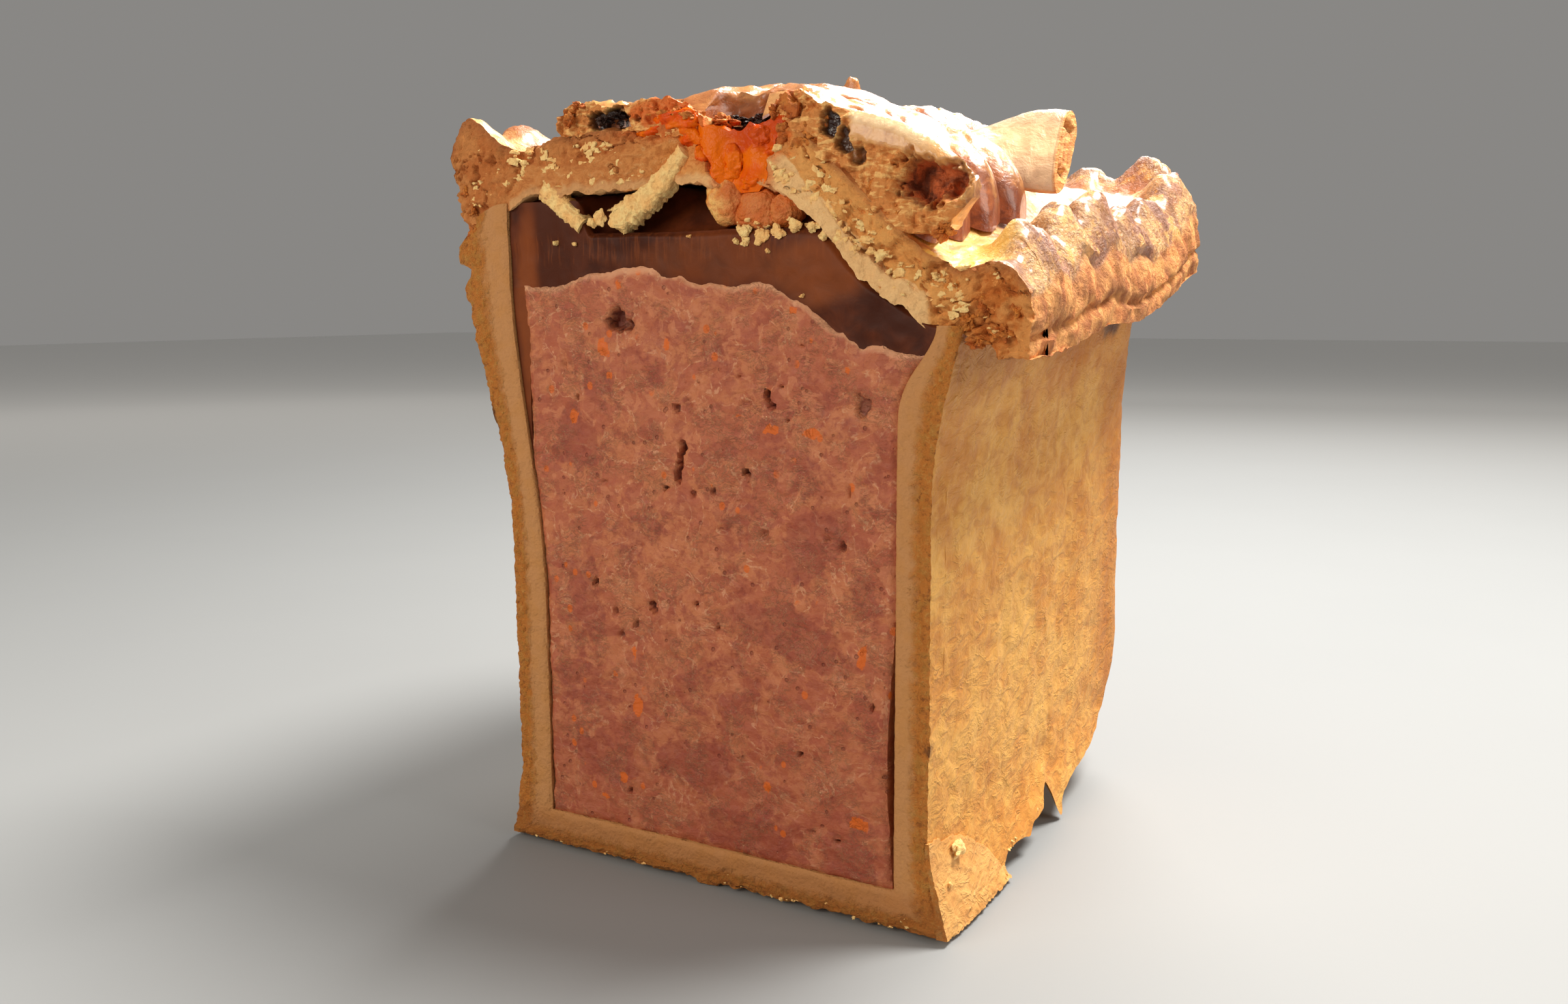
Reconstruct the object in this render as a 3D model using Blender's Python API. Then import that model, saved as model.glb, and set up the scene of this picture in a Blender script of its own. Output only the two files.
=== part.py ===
"""Half of a pate en croute: a block cut through its steam hole, with one cut face and one baked end.

Metres, +Z up. The block stands on the flat underside of its crust, the origin is the middle of that
underside, -Y faces the cut and +X is the side whose wall is lower.
"""

import math

import bmesh
import bpy
import numpy as np
from mathutils import Matrix, Vector

MM = 0.001
GAP = 0.4 * MM                     # clearance between pieces that touch in the real food

# --- driving dimensions of the crust, measured from the cut plane (depth) and the board (height)
CUT_TO_ORIGIN = 48.0 * MM          # the origin lies this far behind the cut face
HALF_WIDTH = 36.2 * MM             # outside of a side wall at mid height
LENGTH = 100.0 * MM                # outside of the baked end at mid height
LEFT_WALL, RIGHT_WALL, FLOOR = 6.8 * MM, 5.2 * MM, 6.2 * MM
CORNER_X, CORNER_Y = 11.0 * MM, 15.0 * MM      # rounding of the two baked vertical corners
BOW_RISE_MIDDLE, BOW_RISE_CORNER = 14.0 * MM, 60.0 * MM   # how far the underside lifts at the end
BOW_START_MIDDLE, BOW_START_CORNER = 82.0 * MM, 54.0 * MM
FOOT, FOOT_HEIGHT = 1.9 * MM, 14.0 * MM        # the walls step out a little at the board
TEAR_FROM, TEAR_TO, TEAR_LIFT = 25.0 * MM, 50.0 * MM, 4.5 * MM   # torn lower edge of the right wall
LEFT_SEAM, RIGHT_SEAM = 101.8 * MM, 83.5 * MM  # where the lid meets the inside of each side wall
LEFT_FLARE, RIGHT_FLARE, END_FLARE = 8.4 * MM, 4.6 * MM, 6.0 * MM
LEFT_INNER_FLARE, RIGHT_INNER_FLARE = 5.2 * MM, 5.4 * MM

# --- lid
LID_LEFT, LID_RIGHT, LID_FAR = -46.0 * MM, 49.0 * MM, 108.0 * MM
LID_CORNER = 23.0 * MM
LID_CREST, LID_VALLEY = 111.0 * MM, 91.0 * MM  # height left of the steam hole, and beside the low rim
DOME_RISE = 3.6 * MM               # the lid swells behind the cut
RIM_IN, RIM_WIDTH = 4.6 * MM, 4.4 * MM
LEFT_RIM, RIGHT_RIM, FAR_RIM = 3.2 * MM, 4.4 * MM, 7.4 * MM
CRIMP_PITCH, CRIMP_SHARE = 14.5 * MM, 0.3
LIP_DROP, LIP_FROM = 3.6 * MM, 41.6 * MM       # the low rim hangs over the outside of the right wall

# --- steam hole and the jelly set in it
HOLE_X, HOLE_TOP_R, HOLE_LOW_R = 6.8 * MM, 6.4 * MM, 4.6 * MM
HOLE_FLOOR, PLUG_TOP = 103.4 * MM, 110.4 * MM

# --- filling and jelly
JELLY_LEVEL = 96.6 * MM
MEAT_PROFILE = [(-34, 89.6), (-26, 89.2), (-19, 90.9), (-9, 91.7), (-1, 89.3), (5, 88.9), (10, 89.4),
                (17, 86.6), (23, 81.6), (28, 80.4), (38, 79.2)]          # x, height at the cut, in mm
ARCH_PROFILE = [(-40, 101.9), (-26, 101.9), (-4, 102.9), (13, 101.2), (21, 94.6), (25, 89.6), (33, 84.6),
                (40, 82.0)]                                              # underside of the lid likewise

# --- leaf of dough on the lid, in mm: root x, root depth, tip x, tip depth, width, root and tip thickness,
# --- how steeply the lobe is rolled onto its front edge (degrees), and how far its tip stands clear
LEAF_THICK = 3.8 * MM
LOBES = [
    (9, 2, 32.5, 6, 10.0, 3.8, 9.5, 0, 0),
    (9, 10, 34.5, 14.5, 9.5, 3.8, 9.0, 0, 0),
    (9, 19, 35.5, 23, 9.5, 3.8, 9.0, 4, 0),
    (9, 27, 36.5, 31, 9.5, 3.8, 8.5, 8, 0),
    (9, 36, 40.0, 41, 13.0, 3.8, 5.4, 52, 3.8),
    (4, 50, 22.0, 68, 13.0, 4.0, 5.4, 0, 0),
    (-4, 2, -23.5, 4, 12.0, 3.8, 4.4, 0, 0),
    (-4, 12, -33.0, 15, 10.0, 3.8, 5.0, 0, 0),
    (-4, 22, -33.0, 28, 10.0, 3.8, 5.0, 0, 0),
    (-4, 32, -30.0, 41, 10.5, 3.8, 5.0, 0, 0),
    (-4, 42, -25.0, 55, 11.0, 3.8, 5.0, 0, 0),
    (-1, 50, -10.0, 70, 12.0, 3.8, 5.0, 0, 0),
]

COLOURS = {
    "pastry_case": ((0.62, 0.36, 0.13), 0.75),
    "pastry_lid": ((0.55, 0.27, 0.09), 0.50),
    "pastry_leaf": ((0.47, 0.20, 0.07), 0.35),
    "meat_filling": ((0.47, 0.20, 0.13), 0.55),
    "aspic": ((0.20, 0.08, 0.03), 0.15),
    "chimney_jelly": ((0.62, 0.16, 0.02), 0.15),
}


# ---------------------------------------------------------------- form of the food, on arrays

def ease(t):
    """0 to 1 with flat ends."""
    t = np.clip(t, 0.0, 1.0)
    return t * t * (3.0 - 2.0 * t)


def quarter(q):
    """0 to 1 along a quarter of a circle: flat at first, steep at the end."""
    return 1.0 - np.sqrt(1.0 - np.clip(q, 0.0, 1.0) ** 2)


def bump(t):
    """A smooth hill, 1 at t = 0 and nothing beyond -1 and 1."""
    return 1.0 - ease(np.abs(t))


def profile(knots, x):
    """Height of a hand-drawn line through knots at x, rounded at the knots."""
    at = np.array(knots) * MM
    return sum(np.interp(x + shift * MM, at[:, 0], at[:, 1]) for shift in (-2, -1, 0, 1, 2)) / 5


def seam(x, depth):
    """Height of the surface on which the lid lies on the case."""
    across = ease((x + 34 * MM) / (68 * MM))
    height = LEFT_SEAM + (RIGHT_SEAM - LEFT_SEAM) * across
    outside = -x - 37 * MM
    height = height - 0.25 * (outside + np.sqrt(outside**2 + (2 * MM) ** 2))
    corner = ease((depth - 45 * MM) / (50 * MM)) * ease((x + 10 * MM) / (46 * MM))
    return height + 8 * MM * corner


def underside(x_share, depth):
    """Height of the crust's underside; it lifts towards the baked end, most of all at the corners."""
    start = BOW_START_MIDDLE + (BOW_START_CORNER - BOW_START_MIDDLE) * x_share**2
    rise = BOW_RISE_MIDDLE + (BOW_RISE_CORNER - BOW_RISE_MIDDLE) * x_share**2
    return rise * quarter((depth - start) / (LENGTH - start))


def torn_edge(x_share, depth):
    """How much of the lower edge of the right wall is torn away."""
    torn = ease((depth - TEAR_FROM) / (4 * MM)) * (1 - ease((depth - TEAR_TO) / (1.5 * MM)))
    torn = torn * (0.6 + 0.6 * ease((depth - TEAR_FROM) / (TEAR_TO - TEAR_FROM)))
    curl = 3.2 * MM * ease((depth - TEAR_TO) / (9 * MM)) * (1 - ease((depth - 62 * MM) / (20 * MM)))
    return (TEAR_LIFT * torn + curl) * ease((x_share - 0.68) / 0.32)


def side_flare(side, share, depth, w):
    """How far the outer (w = 0) or inner (w = 1) skin of a side wall leans out at a share of its height."""
    left = LEFT_FLARE * ease((share - 0.48) / 0.48) ** 1.3
    left = left + (LEFT_INNER_FLARE * ease((share - 0.4) / 0.52) - left) * w
    right = RIGHT_FLARE * (1 - 0.5 * ease(depth / (60 * MM))) * ease((share - 0.72) / 0.36) ** 1.2
    right = right + (RIGHT_INNER_FLARE * ease((share - 0.8) / 0.2) ** 2.6 * (1 - 0.6 * ease(depth / (60 * MM))) - right) * w
    return np.where(side < 0, left, right)


def end_flare(share):
    return END_FLARE * ease((share - 0.6) / 0.4) ** 1.3


def foot(height):
    return FOOT * (1.0 - ease(height / FOOT_HEIGHT))


def corner_turn(depth, far, half):
    """Half width of a plan outline at a depth, with its two far corners rounded."""
    return half - CORNER_X * quarter((depth - (far - CORNER_Y)) / CORNER_Y)


def case_point(u, v, w):
    """u runs down the left wall, over the floor and up the right wall; v runs to the baked end and then
    closes it to a point at its top; w goes from the outer skin to the inner one."""
    wall_share, floor_share = 0.4, 0.2
    left, right = u < wall_share - 1e-6, u > wall_share + floor_share + 1e-6
    side = np.where(left, -1.0, np.where(right, 1.0, 0.0))
    climb = np.where(left, 1 - u / wall_share, np.where(right, (u - wall_share - floor_share) / wall_share, 0.0))
    share = np.clip((u - wall_share) / floor_share * 2 - 1, -1.0, 1.0)

    turn_from, turn_to = 0.6, 0.85
    wall = LEFT_WALL + (RIGHT_WALL - LEFT_WALL) * (share + 1) / 2
    far, half = LENGTH - RIGHT_WALL * w, HALF_WIDTH - wall * w
    angle = np.clip((v - turn_from) / (turn_to - turn_from), 0, 1) * math.pi / 2
    close = np.clip((v - turn_to) / (1 - turn_to), 0, 1)
    depth = (far - CORNER_Y) * np.clip(v / turn_from, 0, 1) + CORNER_Y * np.sin(angle)
    x = share * (half - CORNER_X * (1 - np.cos(angle))) * (1 - close)
    climb = climb + (1 - climb) * close
    keep = 1 - 0.55 * w
    along, outward = np.sin(angle), np.cos(angle)

    top_x = x + side * side_flare(side, 1.0, depth, w) * outward
    top = seam(top_x, depth + end_flare(1.0) * keep * along)
    low = underside(share, np.minimum(depth, LENGTH)) + torn_edge(share, depth) * (1 - w) + FLOOR * w
    height = low + (top - low) * climb
    step = foot(height) * (1 - w)
    x = x + (side * side_flare(side, height / top, depth, w) + share * step) * outward
    depth = depth + (end_flare(height / top) * keep + 0.5 * step) * along
    return x, depth, height


def inner_half(side, depth, height):
    """Inside of a side wall, as a distance from the middle plane."""
    share = height / seam(side * 38 * MM, depth)
    wall = LEFT_WALL if side < 0 else RIGHT_WALL
    far = LENGTH - RIGHT_WALL
    return corner_turn(depth, far, HALF_WIDTH - wall) + side_flare(side, share, depth, 1.0)


def lid_edges(depth):
    """Left and right outline of the lid at a depth."""
    cut = LID_CORNER * quarter((depth - (LID_FAR - LID_CORNER)) / LID_CORNER)
    return LID_LEFT + cut, LID_RIGHT - cut


def lid_top(x, depth):
    """Top of the lid without its rim: high on the left, sloping down to the right, swollen in the middle."""
    swell = DOME_RISE * np.sin(np.clip(depth / (88 * MM), 0, 1) * math.pi) ** 0.8
    swell = swell * np.exp(-((x - 2 * MM) / (26 * MM)) ** 2)
    left_dip = 1.8 * MM * np.exp(-((x + 33 * MM) / (7 * MM)) ** 2)
    crest = LID_CREST - 3 * MM * ease((depth - 60 * MM) / (40 * MM))
    valley = LID_VALLEY + 5 * MM * ease(depth / (34 * MM)) + 9 * MM * ease((depth - 55 * MM) / (35 * MM))
    slope = ease((x - 10 * MM) / (30 * MM))
    return crest + (valley - crest) * slope + swell - left_dip


def crags(along, across):
    """Uneven lumps of a hand-made edge, about 1 in size."""
    a, b = along / MM, across / MM
    return 0.5 * np.sin(0.61 * a + 1.7 * np.sin(0.19 * a + 0.4)) + 0.35 * np.sin(0.97 * a - 0.5 * b + 2.0)


def lid_rim(x, depth):
    """The pinched roll round the lid's edge, and the rounding outside it."""
    left, right = lid_edges(depth)
    edges = [
        (x - left, LEFT_RIM, depth, 0.5),
        (right - x, RIGHT_RIM * (0.15 + 0.85 * ease(depth / (12 * MM))), depth, 2.2),
        (LID_FAR - depth, FAR_RIM * (0.5 + 0.5 * ease(np.abs(x - 4 * MM) / (32 * MM))), x, 2.6),
    ]
    lift = np.zeros_like(x)
    for away, rise, along, phase in edges:
        crimp = 1 + CRIMP_SHARE * np.cos(2 * math.pi * along / CRIMP_PITCH + phase)
        crimp = crimp + 0.22 * crags(along, away)
        lift = np.maximum(lift, rise * crimp * np.exp(-((away - RIM_IN) / RIM_WIDTH) ** 2))
    nearest = np.minimum(np.minimum(edges[0][0], edges[1][0]), edges[2][0])
    return lift - 3.5 * MM * (1 - np.clip(nearest / RIM_IN, 0, 1)) ** 2


def lid_under(x, depth):
    """Underside of the lid: on the seam over the walls, arched over the filling, drooping past the right wall."""
    arch = profile(ARCH_PROFILE, x) + 0.6 * (lid_top(x, depth) - lid_top(x, np.zeros_like(x)))
    rest = seam(x, depth)
    inside = ease((x + 37 * MM) / (4 * MM)) * ease((38 * MM - x) / (5 * MM))
    inside = inside * (1 - ease((depth - 76 * MM) / (18 * MM)))
    lip = LIP_DROP * (1 - 0.6 * ease((depth - 10 * MM) / (70 * MM))) * ease((x - LIP_FROM) / (3.4 * MM))
    lip = lip * (1 - ease((depth - 72 * MM) / (14 * MM)))
    return rest + GAP + np.maximum(0.0, arch - rest) * inside - lip


def lid_point(u, v, w):
    depth = LID_FAR * v
    left, right = lid_edges(depth)
    x = left + (right - left) * u
    low = lid_under(x, depth)
    high = lid_top(x, depth) + lid_rim(x, depth)
    bulge = 1.5 * MM * np.sin(math.pi * w)
    x = x + bulge * (np.where(u > 0.999, 1.0, 0.0) - np.where(u < 0.001, 1.0, 0.0))
    depth = depth + bulge * np.where(v > 0.999, 1.0, 0.0)
    return x, depth, low + (high - low) * w


def meat_top(x, depth):
    waves = 0.6 * MM * np.sin(x / (7.3 * MM) + depth / (16 * MM)) * ease(depth / (12 * MM))
    return profile(MEAT_PROFILE, x) + waves - 12 * MM * ease((depth - 62 * MM) / (30 * MM))


def meat_point(u, v, w):
    """The block of forcemeat, a little clear of the crust all round."""
    depth = (LENGTH - RIGHT_WALL - 1.0 * MM) * v
    low = underside(np.abs(2 * u - 1), np.minimum(depth + 1.2 * MM, LENGTH)) + FLOOR + GAP
    low = low + 0.8 * MM * ease((depth - 45 * MM) / (10 * MM))
    x = (2 * u - 1) * 30 * MM
    for _ in range(3):
        height = low + (meat_top(x, depth) - low) * w
        left = inner_half(-1.0, depth, height) - GAP - (0.1 * MM + 2.3 * MM * ease((height - 58 * MM) / (26 * MM)))
        right = inner_half(1.0, depth, height) - GAP - 0.9 * MM * bump((height - 26 * MM) / (34 * MM))
        right = right - 0.9 * MM * ease((height - 64 * MM) / (8 * MM))
        tuck = 0.8 * MM * ease(depth / (20 * MM))
        x = -left + tuck + (left + right - 2 * tuck) * u
    return x, depth, height


def aspic_point(u, v, w):
    """The jelly over the filling."""
    depth = (LENGTH - RIGHT_WALL - 2.5 * MM) * v
    x = (2 * u - 1) * 33 * MM
    for _ in range(3):
        top = np.minimum(JELLY_LEVEL, lid_under(x, depth) - GAP - 0.5 * MM)
        low = meat_top(x, depth) + GAP + 0.5 * MM * ease(depth / (8 * MM))
        top = np.maximum(top, low + 0.8 * MM)
        height = low + (top - low) * w
        left = inner_half(-1.0, depth, height) - GAP
        right = inner_half(1.0, depth, height) - GAP - 0.8 * MM
        tuck = 0.8 * MM * ease(depth / (20 * MM))
        x = -left + tuck + (left + right - 2 * tuck) * u
    return x, depth, height


# ---------------------------------------------------------------- building with Blender

def clear_scene():
    for item in list(bpy.data.objects):
        bpy.data.objects.remove(item, do_unlink=True)


def material(name):
    colour, rough = COLOURS[name]
    made = bpy.data.materials.new(name)
    made.use_nodes = True
    shader = made.node_tree.nodes["Principled BSDF"]
    shader.inputs["Base Color"].default_value = (*colour, 1.0)
    shader.inputs["Roughness"].default_value = rough
    return made


def sliced_cube(cuts):
    """A unit cube from 0 to 1, sliced by planes into a lattice of cuts[axis] cells along each axis."""
    bm = bmesh.new()
    bmesh.ops.create_cube(bm, size=1.0, matrix=Matrix.Translation((0.5, 0.5, 0.5)))
    for axis, cells in enumerate(cuts):
        normal = Vector((axis == 0, axis == 1, axis == 2))
        for step in range(1, cells):
            geometry = bm.verts[:] + bm.edges[:] + bm.faces[:]
            bmesh.ops.bisect_plane(bm, geom=geometry, plane_co=normal * (step / cells), plane_no=normal)
    return bm


def shaped(name, cuts, form):
    """An object whose sliced cube is bent by form(u, v, w) -> x, depth, height."""
    bm = sliced_cube(cuts)
    grid = np.array([vert.co for vert in bm.verts])
    x, depth, height = form(*np.clip(grid.T, 0.0, 1.0))
    for vert, px, pd, pz in zip(bm.verts, x, depth, height):
        vert.co = (px, pd - CUT_TO_ORIGIN, pz)
    bmesh.ops.remove_doubles(bm, verts=bm.verts, dist=0.01 * MM)
    bmesh.ops.recalc_face_normals(bm, faces=bm.faces)
    mesh = bpy.data.meshes.new(name)
    bm.to_mesh(mesh)
    bm.free()
    item = bpy.data.objects.new(name, mesh)
    bpy.context.scene.collection.objects.link(item)
    return item


def apply_boolean(item, operation, others):
    """One Boolean with all the others, applied; the others are then removed."""
    group = bpy.data.collections.new(item.name + "_joined")
    bpy.context.scene.collection.children.link(group)
    for other in others:
        bpy.context.scene.collection.objects.unlink(other)
        group.objects.link(other)
    step = item.modifiers.new(operation.lower(), "BOOLEAN")
    step.operation = operation
    step.operand_type = "COLLECTION"
    step.collection = group
    step.solver = "EXACT"
    graph = bpy.context.evaluated_depsgraph_get()
    mesh = bpy.data.meshes.new_from_object(item.evaluated_get(graph))
    item.modifiers.clear()
    item.data = mesh
    for other in others:
        bpy.data.objects.remove(other, do_unlink=True)
    bpy.data.collections.remove(group)


def dress(item):
    item.data.materials.clear()
    item.data.materials.append(material(item.name))
    item.data.shade_smooth()
    item.data.set_sharp_from_angle(angle=math.radians(40))


def cone(name, x, depth, low, high, low_radius, high_radius, sides=20):
    bm = bmesh.new()
    place = Matrix.Translation((x, depth - CUT_TO_ORIGIN, (low + high) / 2))
    bmesh.ops.create_cone(bm, cap_ends=True, segments=sides, radius1=low_radius, radius2=high_radius,
                          depth=high - low, matrix=place)
    mesh = bpy.data.meshes.new(name)
    bm.to_mesh(mesh)
    bm.free()
    item = bpy.data.objects.new(name, mesh)
    bpy.context.scene.collection.objects.link(item)
    return item


def half_space(name):
    """A box in front of the cut plane, for trimming what reaches past it."""
    bm = bmesh.new()
    size = 0.3
    place = Matrix.Translation((0, -CUT_TO_ORIGIN - size / 2, size / 4)) @ Matrix.Scale(size, 4)
    bmesh.ops.create_cube(bm, size=1.0, matrix=place)
    mesh = bpy.data.meshes.new(name)
    bm.to_mesh(mesh)
    bm.free()
    item = bpy.data.objects.new(name, mesh)
    bpy.context.scene.collection.objects.link(item)
    return item


def lobe_form(lobe, lift):
    """One lobe of the leaf: a finger of dough that thickens towards its blunt tip, or a cut-off rolled end."""
    root_x, root_depth, tip_x, tip_depth, width, root_thick, tip_thick = (value * MM for value in lobe[:7])
    roll, clear = math.radians(lobe[7]), lobe[8] * MM
    run_x, run_depth = tip_x - root_x, tip_depth - root_depth
    length = math.hypot(run_x, run_depth)
    rounding = 0.0 if clear > 0 else 1.0

    def form(u, v, w):
        blunt = np.sqrt(np.clip(1 - rounding * np.maximum(0, u - 0.82) ** 2 / 0.0360, 0.04, 1))
        across = (2 * v - 1) * width / 2 * (0.7 + 0.3 * ease(u / 0.5)) * (0.45 + 0.55 * blunt)
        tilt = roll * ease((u - 0.3) / 0.65)
        flat = across * np.cos(tilt)
        x = root_x + run_x * u - run_depth / length * flat
        depth = root_depth + run_depth * u + run_x / length * flat
        dome = np.sqrt(np.clip(1 - 0.8 * (2 * v - 1) ** 2, 0.05, 1)) * (0.35 + 0.65 * blunt)
        thick = (root_thick + (tip_thick - root_thick) * ease(u)) * dome
        raised = (width / 2 + across) * np.sin(tilt) + clear * ease((u - 0.4) / 0.6)
        low = lid_top(x, depth) + lift + raised
        return x, depth, low + (thick + 0.4 * MM) * w

    return form


def leaf_body_form(u, v, w):
    """The rib from which the lobes spring."""
    depth = 56 * MM * v
    half = (13 - 5 * v) * MM
    x = 4 * MM + (2 * u - 1) * half
    dome = 1 - 0.35 * (2 * u - 1) ** 2
    low = lid_top(x, depth) + GAP + 0.15 * MM
    return x, depth, low + (LEAF_THICK * dome + 0.4 * MM) * w


def hanging_dough():
    """Dough torn loose at the cut, which hangs from the lid into the hollow over the jelly."""
    deep = 7 * MM

    def strip(u, v, w):
        x = (-9.6 - 3.8 * u**0.8) * MM + (w - 0.5) * (4.0 - 0.8 * u) * MM
        return x, 0.01 * MM + deep * (0.35 + 0.3 * (1 - u)) * v, (105.5 - 7.6 * u) * MM + (w - 0.5) * 1.4 * MM

    def tongue(u, v, w):
        x = (-27.5 + 6.8 * u) * MM
        height = (103.6 - 5.0 * u) * MM + (w - 0.5) * (4.8 - 2.6 * u) * MM
        return x + (w - 0.5) * (5.0 - 3.5 * u) * MM, 0.01 * MM + deep * 0.5 * v, height

    def pad(u, v, w):
        x = (-0.5 + 13.5 * u) * MM
        round_off = np.sin(math.pi * np.clip(0.12 + 0.76 * u, 0, 1))
        return x, 0.01 * MM + deep * v * (0.4 + 0.6 * round_off), (104.5 - (1 - w) * 7.0 * round_off) * MM

    return [
        shaped("torn_strip", (8, 1, 1), strip),
        shaped("torn_tongue", (5, 1, 1), tongue),
        shaped("funnel_pad", (7, 2, 1), pad),
    ]


def build_case():
    case = shaped("pastry_case", (30, 20, 1), case_point)
    bm = bmesh.new()
    bm.from_mesh(case.data)
    for vert in bm.verts:
        if vert.co.z < 0.2 * MM:
            vert.co.z = 0.0
    bm.to_mesh(case.data)
    bm.free()
    dress(case)


def build_lid():
    lid = shaped("pastry_lid", (32, 27, 2), lid_point)
    apply_boolean(lid, "UNION", hanging_dough())
    hole = cone("steam_hole", HOLE_X, 0.0, HOLE_FLOOR, 125 * MM, HOLE_LOW_R, HOLE_TOP_R * 1.9)
    apply_boolean(lid, "DIFFERENCE", [hole])
    dress(lid)


def build_leaf():
    leaf = shaped("pastry_leaf", (6, 9, 1), leaf_body_form)
    lobes = [shaped(f"lobe_{n}", (6, 4, 1), lobe_form(lobe, GAP + (0.35 + 0.2 * (n % 2)) * MM))
             for n, lobe in enumerate(LOBES)]
    flake = cone("raised_flake", 4 * MM, 40 * MM, 117 * MM, 122.4 * MM, 2.6 * MM, 0.8 * MM, sides=7)
    apply_boolean(leaf, "UNION", lobes + [flake])
    hole = cone("leaf_hole", HOLE_X - 1 * MM, 0.0, 100 * MM, 130 * MM, HOLE_TOP_R * 0.9, HOLE_TOP_R * 1.1)
    apply_boolean(leaf, "DIFFERENCE", [hole, half_space("in_front")])
    dress(leaf)


def jelly_wedge(u, v, w):
    """Jelly that ran down between the filling and the left wall."""
    depth = 0.01 * MM + 78 * MM * v
    height = (67 + 26 * w) * MM
    left = inner_half(-1.0, depth, height) - GAP
    tuck = 0.8 * MM * ease(depth / (20 * MM))
    wide = 0.3 * MM + 1.3 * MM * ease((height - 66 * MM) / (22 * MM))
    return -left + tuck + wide * u, depth, height


def build_filling():
    dress(shaped("meat_filling", (16, 8, 9), meat_point))
    aspic = shaped("aspic", (20, 8, 1), aspic_point)
    apply_boolean(aspic, "UNION", [shaped("wedge", (1, 5, 5), jelly_wedge)])
    dress(aspic)


def build_plug():
    plug = cone("chimney_jelly", HOLE_X, 0.0, HOLE_FLOOR + GAP, PLUG_TOP, HOLE_LOW_R - GAP, HOLE_TOP_R)
    apply_boolean(plug, "DIFFERENCE", [half_space("in_front")])
    dress(plug)


clear_scene()
build_case()
build_lid()
build_leaf()
build_filling()
build_plug()
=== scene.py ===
"""End piece of a pate en croute, dressed: golden crust, lid with a leaf of dough, meat, aspic and crumbs.

The block stands on the board, +Z up, with its cut towards -Y. Its forms are worked out in millimetres and
become metres when a mesh is bent. Depth is measured from the cut plane towards the baked end, and height
from the board.
"""
import logging
import math
from dataclasses import dataclass, field
from enum import Enum
from typing import Callable, Iterable, Union

import bpy
import numpy as np
from mathutils import Matrix, Vector


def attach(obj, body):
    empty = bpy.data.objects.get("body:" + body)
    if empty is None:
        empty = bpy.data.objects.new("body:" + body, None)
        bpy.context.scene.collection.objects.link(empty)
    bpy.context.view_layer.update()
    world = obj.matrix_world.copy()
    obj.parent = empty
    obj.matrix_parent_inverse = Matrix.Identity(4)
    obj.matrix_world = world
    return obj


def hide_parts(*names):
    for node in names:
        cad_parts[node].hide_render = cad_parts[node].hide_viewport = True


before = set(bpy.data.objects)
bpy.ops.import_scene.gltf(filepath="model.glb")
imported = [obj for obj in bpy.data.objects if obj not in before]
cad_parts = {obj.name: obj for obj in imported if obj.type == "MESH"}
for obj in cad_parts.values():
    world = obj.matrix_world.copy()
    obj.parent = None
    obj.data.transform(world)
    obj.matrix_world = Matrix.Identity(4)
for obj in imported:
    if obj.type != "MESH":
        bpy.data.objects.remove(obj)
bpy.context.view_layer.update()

MM = 0.001
CUT_Y = -48.0                      # the cut plane, in millimetres
Array = np.ndarray
Point = tuple[Array, Array, Array]
Bend = Callable[[Array, Array, Array], Point]
Marks = dict[str, Array]
Shade = tuple[int, int, int]
LOG = logging.getLogger("pate")


# ------------------------------------------------------------------ small curves on arrays

def ease(t: Array) -> Array:
    """0 to 1 with flat ends."""
    t = np.clip(t, 0.0, 1.0)
    return t * t * (3.0 - 2.0 * t)


def quarter(q: Array) -> Array:
    """0 to 1 along a quarter of a circle: flat at first, steep at the end."""
    return 1.0 - np.sqrt(1.0 - np.clip(q, 0.0, 1.0) ** 2)


def bump(t: Array) -> Array:
    """A smooth hill, 1 at t = 0 and nothing beyond -1 and 1."""
    return 1.0 - ease(np.abs(t))


def fade(t: Array) -> Array:
    """1 at t = 0, falling straight to 0 at t = 1."""
    return np.clip(1.0 - t, 0.0, 1.0)


def profile(knots: list[tuple[float, float]], x: Array, soft: float = 1.0) -> Array:
    """A line drawn through knots, rounded at the knots.

    Args:
        knots: Pairs of place and height.
        x: Where the line is read.
        soft: How far the rounding reaches.

    Returns:
        The height at each x.
    """
    at = np.array(knots)
    return sum(np.interp(x + step * soft, at[:, 0], at[:, 1]) for step in (-2, -1, 0, 1, 2)) / 5


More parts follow.
